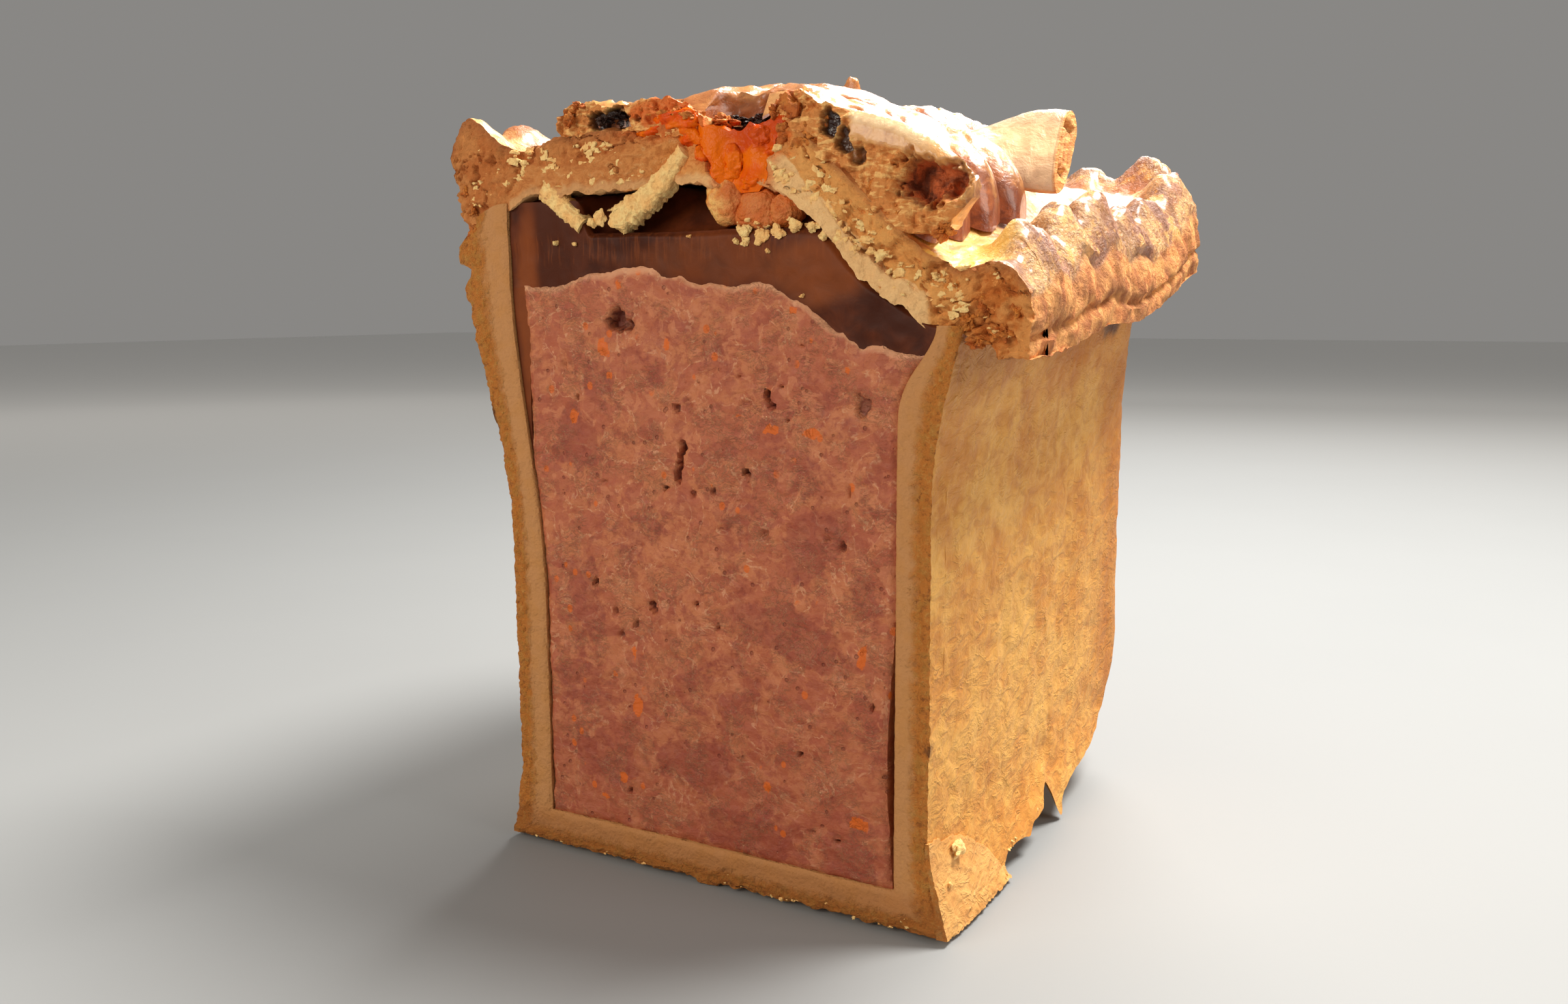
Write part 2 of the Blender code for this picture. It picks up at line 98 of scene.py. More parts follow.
@dataclass(frozen=True)
class Noise:
    """Smooth random lumps, the same on every run."""

    size: float                    # from lump to lump
    seed: int = 1
    octaves: int = 3

    def corner(self, i: Array, j: Array, k: Array, octave: int) -> Array:
        """A fixed random number from 0 to 1 for each corner of a lattice."""
        h = (i * 73856093) ^ (j * 19349663) ^ (k * 83492791) ^ ((self.seed * 31 + octave) * 40503)
        h = h & 0xFFFFFFFF
        h = ((h ^ (h >> 15)) * 73244475) & 0xFFFFFFFF
        h = ((h ^ (h >> 13)) * 73244475) & 0xFFFFFFFF
        return (h ^ (h >> 16)) / 0xFFFFFFFF

    def layer(self, x: Array, y: Array, z: Array, octave: int) -> Array:
        """One layer of lumps, from -1 to 1."""
        place = [axis / self.size * 2.0**octave + 7.3 * (octave + 1) for axis in (x, y, z)]
        low = [np.floor(axis).astype(np.int64) for axis in place]
        part = [ease(axis - base) for axis, base in zip(place, low)]
        total = np.zeros(np.broadcast(x, y, z).shape)
        for a in (0, 1):
            for b in (0, 1):
                for c in (0, 1):
                    share = (part[0] if a else 1 - part[0]) * (part[1] if b else 1 - part[1])
                    share = share * (part[2] if c else 1 - part[2])
                    total = total + share * self.corner(low[0] + a, low[1] + b, low[2] + c, octave)
        return total * 2 - 1

    def lumps(self, x: Array, y: Array, z: Array) -> Array:
        """Lumps of several sizes added up, about -1 to 1."""
        return sum(self.layer(x, y, z, n) * 0.5**n for n in range(self.octaves)) * 1.1

    def ridges(self, x: Array, y: Array, z: Array) -> Array:
        """Sharp crests between rounded hollows, from 0 in the hollows to 1 on the crests."""
        weights = [0.55**n for n in range(self.octaves)]
        rows = [(1 - np.abs(self.layer(x, y, z, n))) * weight for n, weight in enumerate(weights)]
        return np.clip(sum(rows) / sum(weights), 0, 1) ** 1.5


# ------------------------------------------------------------------ the form of the block

@dataclass(frozen=True)
class LoafForm:
    """Sizes and main surfaces of the block: the solids' own, but for a shallower lip behind the cut."""

    gap: float = 0.4
    half_width: float = 36.2
    length: float = 100.0
    left_wall: float = 6.8
    right_wall: float = 5.2
    floor: float = 6.2
    corner_x: float = 11.0
    corner_y: float = 15.0
    bow_rise: tuple[float, float] = (14.0, 60.0)     # at the middle and at the corners
    bow_start: tuple[float, float] = (82.0, 54.0)
    foot_out: float = 1.9
    foot_height: float = 14.0
    left_seam: float = 101.8
    right_seam: float = 83.5
    flares: tuple[float, float, float] = (8.4, 4.6, 6.0)    # left, right, end
    inner_flares: tuple[float, float] = (5.2, 5.4)
    lid_left: float = -46.0
    lid_right: float = 49.0
    lid_far: float = 108.0
    lid_corner: float = 23.0
    crest: float = 111.0
    valley: float = 91.0
    dome: float = 3.6
    rim_in: float = 4.6
    rim_width: float = 4.4
    rims: tuple[float, float, float] = (3.2, 4.4, 7.4)
    crimp_pitch: float = 14.5
    crimp_share: float = 0.3
    lip_drop: float = 3.6
    lip_from: float = 41.6
    hole_x: float = 6.8
    hole_radius: tuple[float, float] = (4.6, 6.9)    # at its floor and at the lid's top
    hole_floor: float = 103.4
    plug_top: float = 110.4
    jelly_level: float = 96.6
    meat_line: tuple = ((-34, 89.6), (-26, 89.2), (-19, 90.9), (-9, 91.7), (-1, 89.3), (5, 88.9),
                        (10, 89.4), (17, 86.6), (23, 81.6), (28, 80.4), (38, 79.2))
    arch_line: tuple = ((-40, 101.9), (-26, 101.9), (-4, 102.9), (13, 101.2), (21, 94.6), (25, 89.6),
                        (33, 84.6), (40, 82))
    torn_line: tuple = ((0, 0), (24, 0.2), (25, 1.9), (27, 3.1), (30.7, 3.6), (33.5, 3.3), (35.5, 2.6),
                        (37, 4.4), (40, 4.7), (43.1, 5.1), (44.3, 7.4), (45.7, 8.6), (47, 7.2),
                        (49, 3.8), (51.2, 0.4), (52.4, 0.8), (54, 3.1), (58, 4.6), (62, 4.3), (70, 3),
                        (76, 1), (82, 0))
    torn_hollow: tuple = ((24, 0), (28, 4.6), (36, 6.2), (45, 9), (50, 8.4), (56, 5), (64, 4), (82, 0))

    def seam(self, x: Array, depth: Array) -> Array:
        """Height of the surface on which the lid lies on the case."""
        across = ease((x + 34) / 68)
        height = self.left_seam + (self.right_seam - self.left_seam) * across
        outside = -x - 37
        height = height - 0.25 * (outside + np.sqrt(outside**2 + 4))
        corner = ease((depth - 45) / 50) * ease((x + 10) / 46)
        return height + 8 * corner

    def underside(self, share: Array, depth: Array) -> Array:
        """Height of the crust's underside; it lifts towards the baked end, most at the corners."""
        start = self.bow_start[0] + (self.bow_start[1] - self.bow_start[0]) * share**2
        rise = self.bow_rise[0] + (self.bow_rise[1] - self.bow_rise[0]) * share**2
        return rise * quarter((depth - start) / (self.length - start))

    def torn_edge(self, share: Array, depth: Array) -> Array:
        """How far the lower edge of the right wall is torn away, with a hollow behind its ragged hem."""
        hem = profile(self.torn_line, depth, soft=0.25)
        behind = np.maximum(hem, profile(self.torn_hollow, depth)) * ease((share - 0.66) / 0.16)
        return behind + (hem - behind) * ease((share - 0.955) / 0.045)

    def side_flare(self, side: Array, share: Array, depth: Array, w: Array) -> Array:
        """How far a side wall leans out.

        Args:
            side: -1 on the left, 1 on the right.
            share: Height as a share of the wall's.
            depth: Depth behind the cut.
            w: 0 at the outer skin and 1 at the inner one.

        Returns:
            The lean, away from the middle.
        """
        left = self.flares[0] * ease((share - 0.48) / 0.48) ** 1.3
        left = left + (self.inner_flares[0] * ease((share - 0.4) / 0.52) - left) * w
        back = ease(depth / 60)
        right = self.flares[1] * (1 - 0.5 * back) * ease((share - 0.72) / 0.36) ** 1.2
        inner = self.inner_flares[1] * ease((share - 0.8) / 0.2) ** 2.6 * (1 - 0.6 * back)
        right = right + (inner - right) * w
        return np.where(side < 0, left, right)

    def end_flare(self, share: Array) -> Array:
        """How far the baked end leans out."""
        return self.flares[2] * ease((share - 0.6) / 0.4) ** 1.3

    def foot(self, height: Array) -> Array:
        """How far the walls step out just over the board."""
        return self.foot_out * (1.0 - ease(height / self.foot_height))

    def inner_half(self, side: float, depth: Array, height: Array) -> Array:
        """Inside of a side wall, as a distance from the middle plane."""
        share = height / self.seam(side * 38, depth)
        wall = self.left_wall if side < 0 else self.right_wall
        corner = self.length - self.right_wall - self.corner_y
        turn = self.corner_x * quarter((depth - corner) / self.corner_y)
        return self.half_width - wall - turn + self.side_flare(side, share, depth, 1.0)

    def case_point(self, u: Array, v: Array, w: Array) -> Point:
        """A point of the case.

        Args:
            u: Down the left wall, over the floor and up the right wall.
            v: To the baked end, which it then closes to a point at its top.
            w: From the outer skin to the inner one.

        Returns:
            The point's x, depth and height.
        """
        left, right = u < 0.4 - 1e-6, u > 0.6 + 1e-6
        side = np.where(left, -1.0, np.where(right, 1.0, 0.0))
        climb = np.where(left, 1 - u / 0.4, np.where(right, (u - 0.6) / 0.4, 0.0))
        share = np.clip((u - 0.4) / 0.2 * 2 - 1, -1.0, 1.0)
        wall = self.left_wall + (self.right_wall - self.left_wall) * (share + 1) / 2
        far, half = self.length - self.right_wall * w, self.half_width - wall * w
        angle = np.clip((v - 0.6) / 0.25, 0, 1) * math.pi / 2
        close = np.clip((v - 0.85) / 0.15, 0, 1)
        depth = (far - self.corner_y) * np.clip(v / 0.6, 0, 1) + self.corner_y * np.sin(angle)
        x = share * (half - self.corner_x * (1 - np.cos(angle))) * (1 - close)
        climb = climb + (1 - climb) * close
        keep = 1 - 0.55 * w
        along, outward = np.sin(angle), np.cos(angle)
        top_x = x + side * self.side_flare(side, 1.0, depth, w) * outward
        top = self.seam(top_x, depth + self.end_flare(1.0) * keep * along)
        low = self.underside(share, np.minimum(depth, self.length))
        low = low + self.torn_edge(share, depth) * (1 - w) + self.floor * w
        height = low + (top - low) * climb
        step = self.foot(height) * (1 - w)
        x = x + (side * self.side_flare(side, height / top, depth, w) + share * step) * outward
        depth = depth + (self.end_flare(height / top) * keep + 0.5 * step) * along
        return x, depth, height

    def lid_edges(self, depth: Array) -> tuple[Array, Array]:
        """Left and right outline of the lid at a depth."""
        cut = self.lid_corner * quarter((depth - (self.lid_far - self.lid_corner)) / self.lid_corner)
        return self.lid_left + cut, self.lid_right - cut

    def lid_top(self, x: Array, depth: Array) -> Array:
        """Top of the lid without its rim: high on the left, sloping down to the right."""
        swell = self.dome * np.sin(np.clip(depth / 88, 0, 1) * math.pi) ** 0.8
        swell = swell * np.exp(-((x - 2) / 26) ** 2)
        left_dip = 1.8 * np.exp(-((x + 33) / 7) ** 2)
        crest = self.crest - 3 * ease((depth - 60) / 40)
        valley = self.valley + 5 * ease(depth / 34) + 9 * ease((depth - 55) / 35)
        return crest + (valley - crest) * ease((x - 10) / 30) + swell - left_dip

    def crags(self, along: Array, across: Array) -> Array:
        """Uneven lumps of a hand-made edge, about 1 in size."""
        slow = np.sin(0.61 * along + 1.7 * np.sin(0.19 * along + 0.4))
        return 0.5 * slow + 0.35 * np.sin(0.97 * along - 0.5 * across + 2.0)

    def lid_rim(self, x: Array, depth: Array) -> Array:
        """The pinched roll round the lid's edge, and the rounding outside it."""
        left, right = self.lid_edges(depth)
        edges = (
            (x - left, self.rims[0], depth, 0.5),
            (right - x, self.rims[1] * (0.15 + 0.85 * ease(depth / 12)), depth, 2.2),
            (self.lid_far - depth, self.rims[2] * (0.5 + 0.5 * ease(np.abs(x - 4) / 32)), x, 2.6),
        )
        lift = np.zeros_like(x)
        for away, rise, along, phase in edges:
            crimp = 1 + self.crimp_share * np.cos(2 * math.pi * along / self.crimp_pitch + phase)
            crimp = crimp + 0.22 * self.crags(along, away)
            lift = np.maximum(lift, rise * crimp * np.exp(-((away - self.rim_in) / self.rim_width) ** 2))
        nearest = np.minimum(np.minimum(edges[0][0], edges[1][0]), edges[2][0])
        return lift - 3.5 * (1 - np.clip(nearest / self.rim_in, 0, 1)) ** 2

    def lid_under(self, x: Array, depth: Array) -> Array:
        """Underside of the lid: on the seam over the walls, arched over the filling, with a low lip."""
        arch = profile(self.arch_line, x) + 0.6 * (self.lid_top(x, depth) - self.lid_top(x, 0))
        rest = self.seam(x, depth)
        inside = ease((x + 37) / 4) * ease((38 - x) / 5)
        inside = inside * (1 - ease((depth - 76) / 18))
        lip = self.lip_drop * (1 - 0.9 * ease((depth - 8) / 30))
        lip = lip * ease((x - self.lip_from) / 3.4) * (1 - ease((depth - 72) / 14))
        return rest + self.gap + np.maximum(0.0, arch - rest) * inside - lip

    def meat_top(self, x: Array, depth: Array) -> Array:
        """Top of the forcemeat, which sinks near the baked end."""
        waves = 0.6 * np.sin(x / 7.3 + depth / 16) * ease(depth / 12)
        return profile(self.meat_line, x) + waves - 12 * ease((depth - 62) / 30)


FORM = LoafForm()


# ------------------------------------------------------------------ meshes

class Body(Enum):
    """CAD bodies that a piece can ride on."""

    ROOT = "root"


@dataclass
class Block:
    """A closed box of six fine grids, bent into a piece of food."""

    name: str
    cells: tuple[int, int, int]
    warps: tuple = (None, None, None)    # per axis: knots (place in the box, place in the form)
    fresh: bool = True                   # its v = 0 side is the cut

    def unit_box(self) -> bpy.types.Object:
        """Adds six grids on the faces of the unit cube and merges them.

        Returns:
            The new object, a closed cube from 0 to 1.
        """
        a, b, c = self.cells
        turn = math.pi / 2
        walls = (
            ((0.5, 0.5, 0), (0, 0, 0), a, b), ((0.5, 0.5, 1), (0, 0, 0), a, b),
            ((0.5, 0, 0.5), (turn, 0, 0), a, c), ((0.5, 1, 0.5), (turn, 0, 0), a, c),
            ((0, 0.5, 0.5), (0, turn, 0), c, b), ((1, 0.5, 0.5), (0, turn, 0), c, b),
        )
        sides = []
        for place, rotation, along, across in walls:
            bpy.ops.object.select_all(action="DESELECT")
            bpy.ops.mesh.primitive_grid_add(x_subdivisions=along, y_subdivisions=across, size=1.0,
                                            location=place, rotation=rotation)
            sides.append(bpy.context.object)
        join(sides, self.name)
        merge(1e-5)
        return bpy.context.object

    def build(self, bend: Bend, marks: Callable[..., Marks] | None = None,
              trimmed: Callable[..., Array] | None = None) -> bpy.types.Object:
        """Bends the box and marks its points.

        Args:
            bend: Turns places in the box into x, depth and height.
            marks: Gives named numbers per point from the box places and the bent places.
            trimmed: Says from the same places which points lie on the cut, where that isn't v = 0.

        Returns:
            The finished mesh object, its cut faces marked 1 in "cut".
        """
        item = self.shape(self.unit_box(), bend, marks, trimmed)
        merge(1.5e-6)
        return item

    def shape(self, item: bpy.types.Object, bend: Bend, marks: Callable[..., Marks] | None = None,
              trimmed: Callable[..., Array] | None = None) -> bpy.types.Object:
        """Bends a unit box that is already there.

        Args:
            item: The unit box.
            bend: As for build.
            marks: As for build.
            trimmed: As for build.

        Returns:
            The same object, bent and marked.
        """
        mesh = item.data
        flat = np.empty(len(mesh.vertices) * 3)
        mesh.vertices.foreach_get("co", flat)
        box = np.clip(flat.reshape(-1, 3), 0.0, 1.0).T
        u, v, w = (axis if knots is None else np.interp(axis, *zip(*knots))
                   for axis, knots in zip(box, self.warps))
        x, depth, height = bend(u, v, w)
        on_cut = (box[1] < 1e-6) & self.fresh if trimmed is None else trimmed(u, v, w, x, depth, height)
        cut = face_share(mesh, on_cut)
        place = np.stack([x, np.maximum(depth, 0.0) + CUT_Y, np.maximum(height, 0.0)], axis=1) * MM
        mesh.vertices.foreach_set("co", place.ravel())
        mark_faces(mesh, "cut", cut)
        if marks is not None:
            for name, values in marks(u, v, w, x, depth, height).items():
                mark_points(mesh, name, values)
        mesh.update()
        return item


def merge(distance: float) -> None:
    """Merges doubles of the active object and turns its faces outwards.

    Args:
        distance: Points closer than this become one.
    """
    bpy.ops.object.mode_set(mode="EDIT")
    bpy.ops.mesh.select_all(action="SELECT")
    bpy.ops.mesh.remove_doubles(threshold=distance)
    bpy.ops.mesh.normals_make_consistent(inside=False)
    bpy.ops.mesh.select_all(action="DESELECT")
    bpy.ops.object.mode_set(mode="OBJECT")


def join(items: list[bpy.types.Object], name: str) -> bpy.types.Object:
    """Joins objects into one.

    Args:
        items: The objects; the first one stays.
        name: The joined object's name.

    Returns:
        The joined object, which is active and has its place in its mesh.
    """
    bpy.ops.object.select_all(action="DESELECT")
    for item in items:
        item.select_set(True)
    bpy.context.view_layer.objects.active = items[0]
    if len(items) > 1:
        bpy.ops.object.join()
    bpy.ops.object.transform_apply(location=True, rotation=True, scale=True)
    items[0].name = items[0].data.name = name
    return items[0]


def face_share(mesh: bpy.types.Mesh, inside: Array) -> Array:
    """1 for each face whose corners are all inside, else 0."""
    loops = np.empty(len(mesh.loops), dtype=np.int64)
    mesh.loops.foreach_get("vertex_index", loops)
    starts = np.empty(len(mesh.polygons), dtype=np.int64)
    mesh.polygons.foreach_get("loop_start", starts)
    return np.minimum.reduceat(inside[loops].astype(float), starts)


def mark_faces(mesh: bpy.types.Mesh, name: str, values: Array) -> None:
    """Stores one number per face."""
    mesh.attributes.new(name, "FLOAT", "FACE").data.foreach_set("value", values.astype(np.float32))


def mark_points(mesh: bpy.types.Mesh, name: str, values: Array) -> None:
    """Stores one number per point."""
    values = np.asarray(values, dtype=np.float32)
    mesh.attributes.new(name, "FLOAT", "POINT").data.foreach_set("value", values)


def spots(x: Array, z: Array, places: Iterable[tuple], wobble: Array | float = 0.0,
          soft: float = 0.75) -> Array:
    """Soft round spots on a plane.

    Args:
        x: First coordinate.
        z: Second coordinate.
        places: Centre x, centre z, half width, half height and strength of each.
        wobble: Added to the distance from each centre, so that the outline isn't round.
        soft: Width of the edge, as a share of the spot.

    Returns:
        The strongest spot at each point.
    """
    total = np.zeros_like(x)
    for cx, cz, rx, rz, strength in places:
        away = np.hypot((x - cx) / rx, (z - cz) / rz) + wobble
        total = np.maximum(total, strength * (1 - ease((away - 1) / soft + 0.5)))
    return total


def dress(item: bpy.types.Object, finish: bpy.types.Material, node: str,
          angle: float = 55.0) -> bpy.types.Object:
    """Gives a finished piece its material and its place in the row.

    Args:
        item: The piece.
        finish: Its material.
        node: The CAD node that it stands for.
        angle: Edges sharper than this, in degrees, stay sharp.

    Returns:
        The piece.
    """
    bpy.ops.object.select_all(action="DESELECT")
    item.select_set(True)
    bpy.context.view_layer.objects.active = item
    bpy.ops.object.shade_smooth_by_angle(angle=math.radians(angle))
    item.data.materials.clear()
    item.data.materials.append(finish)
    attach(item, Body.ROOT.value)
    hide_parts(node)
    LOG.info("%s: %d faces, stands for %s", item.name, len(item.data.polygons), node)
    return item


# ------------------------------------------------------------------ shader recipes

Value = Union["Field", float, tuple]


class Field:
    """A shader socket that takes part in Python sums and products."""

    def __init__(self, recipe: "Recipe", socket: bpy.types.NodeSocket) -> None:
        """Keeps the socket and the recipe that it belongs to."""
        self.recipe, self.socket = recipe, socket

    def sum_of(self, operation: str, first: Value, second: Value) -> "Field":
        """A Math node on two values."""
        return self.recipe.get("ShaderNodeMath", {"operation": operation}, {0: first, 1: second})

    def __add__(self, other: Value) -> "Field":
        """This plus other."""
        return self.sum_of("ADD", self, other)

    def __sub__(self, other: Value) -> "Field":
        """This minus other."""
        return self.sum_of("SUBTRACT", self, other)

    def __rsub__(self, other: Value) -> "Field":
        """Other minus this."""
        return self.sum_of("SUBTRACT", other, self)

    def __mul__(self, other: Value) -> "Field":
        """This times other."""
        return self.sum_of("MULTIPLY", self, other)

    __radd__, __rmul__ = __add__, __mul__

    def greatest(self, other: Value) -> "Field":
        """The greater of two values."""
        return self.sum_of("MAXIMUM", self, other)

    def rise(self, low: float, high: float) -> "Field":
        """0 below low and 1 above high, or the other way round where low is the greater."""
        return self.recipe.get("ShaderNodeMapRange", {"interpolation_type": "SMOOTHSTEP"},
                               {"Value": self, "From Min": low, "From Max": high})

    def coat(self, mask: Value, shade: Shade, gain: float = 1.0) -> "Field":
        """This colour with a painted one laid over it where the mask is 1."""
        return self.recipe.blend(mask, self, paint(shade, gain))


def paint(shade: Shade, gain: float = 1.0) -> tuple[float, float, float, float]:
    """A colour as seen on a screen, as light.

    Args:
        shade: Red, green and blue from 0 to 255.
        gain: Brighter above 1 and darker below.

    Returns:
        The linear colour with full alpha.
    """
    parts = [c / 255 for c in shade]
    light = [(c / 12.92 if c <= 0.04045 else ((c + 0.055) / 1.055) ** 2.4) * gain for c in parts]
    return (*[min(c, 0.95) for c in light], 1.0)


class Recipe:
    """One material, written as expressions on fields."""

    def __init__(self, name: str) -> None:
        """Makes an empty material and its Object coordinates.

        Args:
            name: The finish's plain name.
        """
        self.material = bpy.data.materials.new(name)
        self.material.use_nodes = True
        self.tree = self.material.node_tree
        self.tree.nodes.clear()
        self.place = Field(self, self.node("ShaderNodeTexCoord").outputs["Object"])
        split = self.node("ShaderNodeSeparateXYZ", inputs={0: self.place})
        self.x, self.y, self.z = (Field(self, output) for output in split.outputs)

    def node(self, kind: str, settings: dict | None = None, inputs: dict | None = None) -> bpy.types.Node:
        """Adds a node.

        Args:
            kind: The node's type.
            settings: Its own settings, set first.
            inputs: Values or fields by socket name or number.

        Returns:
            The node.
        """
        made = self.tree.nodes.new(kind)
        for key, value in (settings or {}).items():
            setattr(made, key, value)
        for key, value in (inputs or {}).items():
            if isinstance(value, Field):
                self.tree.links.new(value.socket, made.inputs[key])
            else:
                made.inputs[key].default_value = value
        return made

    def get(self, kind: str, settings: dict | None = None, inputs: dict | None = None,
            output: int | str = 0) -> Field:
        """Adds a node and returns one of its outputs as a field.

        Args:
            kind: The node's type.
            settings: Its own settings.
            inputs: Values or fields by socket name or number.
            output: The output's name or number.

        Returns:
            The output.
        """
        return Field(self, self.node(kind, settings, inputs).outputs[output])

    def mark(self, name: str) -> Field:
        """A number stored on the mesh."""
        return self.get("ShaderNodeAttribute", {"attribute_name": name}, output="Fac")

    def stretched(self, scale: tuple[float, float, float], turn: tuple[float, float, float]) -> Field:
        """Object coordinates stretched by scale and turned, for fibres and streaks."""
        return self.get("ShaderNodeMapping", {}, {"Vector": self.place, "Scale": scale, "Rotation": turn})

    def noise(self, size: float, detail: float = 3.0, rough: float = 0.55, twist: float = 0.0,
              place: Field | None = None) -> Field:
        """Soft lumps.

        Args:
            size: From lump to lump, in millimetres.
            detail: How many finer layers.
            rough: How strong the finer layers are.
            twist: How far the pattern is bent by itself.
            place: Coordinates, Object ones by default.

        Returns:
            A field from 0 to 1.
        """
        inputs = {"Vector": place or self.place, "Scale": 1 / (size * MM), "Detail": detail,
                  "Roughness": rough, "Distortion": twist}
        return self.get("ShaderNodeTexNoise", {}, inputs, "Fac")

    def cells(self, size: float, place: Field | None = None) -> Field:
        """Distance to the nearest of many scattered points."""
        inputs = {"Vector": place or self.place, "Scale": 1 / (size * MM)}
        return self.get("ShaderNodeTexVoronoi", {}, inputs, "Distance")

    def blend(self, mask: Value, below: Value, above: Value) -> Field:
        """Lays one colour over another.

        Args:
            mask: 0 shows below and 1 shows above.
            below: The colour underneath.
            above: The colour on top.

        Returns:
            The mixed colour.
        """
        return self.get("ShaderNodeMix", {"data_type": "RGBA"}, {0: mask, 6: below, 7: above}, 2)

    def relief(self, height: Field, deep: float, strength: float = 1.0, under: Field | None = None) -> Field:
        """Turns a height field into a bumpy surface.

        Args:
            height: The height, 0 to 1.
            deep: How high 1 stands, in millimetres.
            strength: How strongly it shows.
            under: A coarser relief below it.

        Returns:
            The surface direction.
        """
        inputs = {"Height": height, "Distance": deep * MM, "Strength": strength}
        if under is not None:
            inputs["Normal"] = under
        return self.get("ShaderNodeBump", {}, inputs)

    def finish(self, **sockets: Value) -> bpy.types.Material:
        """Ends the recipe with the surface shader.

        Args:
            **sockets: Values or fields for the shader's sockets, with _ for a space in their names.

        Returns:
            The material.
        """
        shader = self.node("ShaderNodeBsdfPrincipled", {},
                           {key.replace("_", " "): value for key, value in sockets.items()})
        self.node("ShaderNodeOutputMaterial", {}, {"Surface": Field(self, shader.outputs[0])})
        return self.material


@dataclass(frozen=True)
class CrustFinish:
    """Baked shortcrust: a golden, finely scaled skin and a cut with a cream and a brown band."""

    pale: Shade = (222, 166, 84)
    golden: Shade = (202, 135, 57)
    brown: Shade = (168, 97, 35)
    edge: Shade = (196, 126, 60)
    crumb: Shade = (212, 129, 50)
    shade: Shade = (150, 84, 34)
    cream: Shade = (188, 132, 80)
    inside: Shade = (186, 134, 80)
    burnt: Shade = (62, 30, 14)

    def scales(self, r: Recipe) -> tuple[Field, Field, Field]:
        """Fine scales of the skin.

        Args:
            r: The recipe.

        Returns:
            Soft lumps, thin raised strokes and fine grain, each 0 to 1.
        """
        leaning = r.stretched((0.8, 0.55, 1.0), (0.35, 0.0, 0.0))
        bend = r.noise(3.2, 3, 0.55, 1.4, leaning) - 0.5
        strokes = (bend * bend * 420.0).rise(1.0, 0.0) * r.noise(4, 2).rise(0.5, 0.62)
        return r.noise(2.2, 5, 0.6, 0.9, leaning), strokes, r.noise(0.5, 3, 0.6)

    def make(self) -> bpy.types.Material:
        """Makes the material."""
        r = Recipe("golden crust")
        cut, layer, burn, pit = r.mark("cut"), r.mark("layer"), r.mark("burn"), r.mark("pit")
        broad, mottle = r.noise(15, 4, 0.6), r.noise(4.6, 4, 0.62, 0.5)
        lumps, strokes, grain = self.scales(r)
        skin = r.blend(broad.rise(0.36, 0.62), paint(self.pale), paint(self.golden))
        skin = skin.coat(mottle.rise(0.48, 0.7) * 0.4, self.brown)
        # Painted shade and highlight of the fine scales: browner in their hollows, paler on their tops and on
        # the raised strokes.
        skin = skin.coat(lumps.rise(0.48, 0.36) * 0.28, self.brown)
        skin = skin.coat(lumps.rise(0.5, 0.6) * 0.3, self.pale, 1.12)
        skin = skin.coat(strokes * 0.35, self.pale, 1.1)
        high = (r.z + broad * 0.024).rise(0.072, 0.1)
        deep = (r.y + broad * 0.014).rise(0.012, 0.052)
        skin = skin.coat(high.greatest(deep) * 0.65, self.brown)
        skin = skin.coat(r.mark("foot") * 0.7, self.edge)
        skin = skin.coat(layer.rise(0.5, 0.9), self.inside)
        band = (layer + (r.noise(1.4, 5, 0.65) - 0.5) * 0.55).rise(0.3, 0.62)
        specks = r.noise(0.8, 5, 0.7)
        crumb = r.blend(r.noise(1.3, 4, 0.65).rise(0.44, 0.66), paint(self.crumb), paint(self.golden))
        crumb = crumb.coat(specks.rise(0.54, 0.66) * 0.55, self.pale)
        # Painted shade: the crumb is darker where the cut lies deeper and in the hollows of its fine specks.
        crumb = crumb.coat((pit * 0.9 + specks.rise(0.52, 0.36) * 0.7).rise(0.3, 1.1), self.shade)
        cream = r.blend(r.noise(3.4, 3).rise(0.4, 0.7) * 0.3, paint(self.cream), paint(self.golden, 0.85))
        cream = cream.coat((specks * specks).rise(0.36, 0.5) * 0.22, self.pale)
        face = r.blend(band, crumb, cream)
        # The cut face grows darker towards the board.
        face = face.coat(r.z.rise(0.0075, 0.0045) * 0.4, self.shade)
        base = r.blend(cut, skin, face)
        base = base.coat(burn, self.burnt)
        skin_height = lumps + strokes * 0.22 + grain * 0.12
        crumb_height = specks * (1 - band) * 1.5 + r.noise(0.5, 3) * band * 0.3
        height = skin_height * (1 - cut) * 0.7 + crumb_height * cut
        normal = r.relief(height, 0.9, 0.9, r.relief(mottle, 0.9, 0.6))
        return r.finish(Base_Color=base, Roughness=0.52 + 0.2 * cut + 0.1 * mottle, Normal=normal,
                        Specular_IOR_Level=0.35)


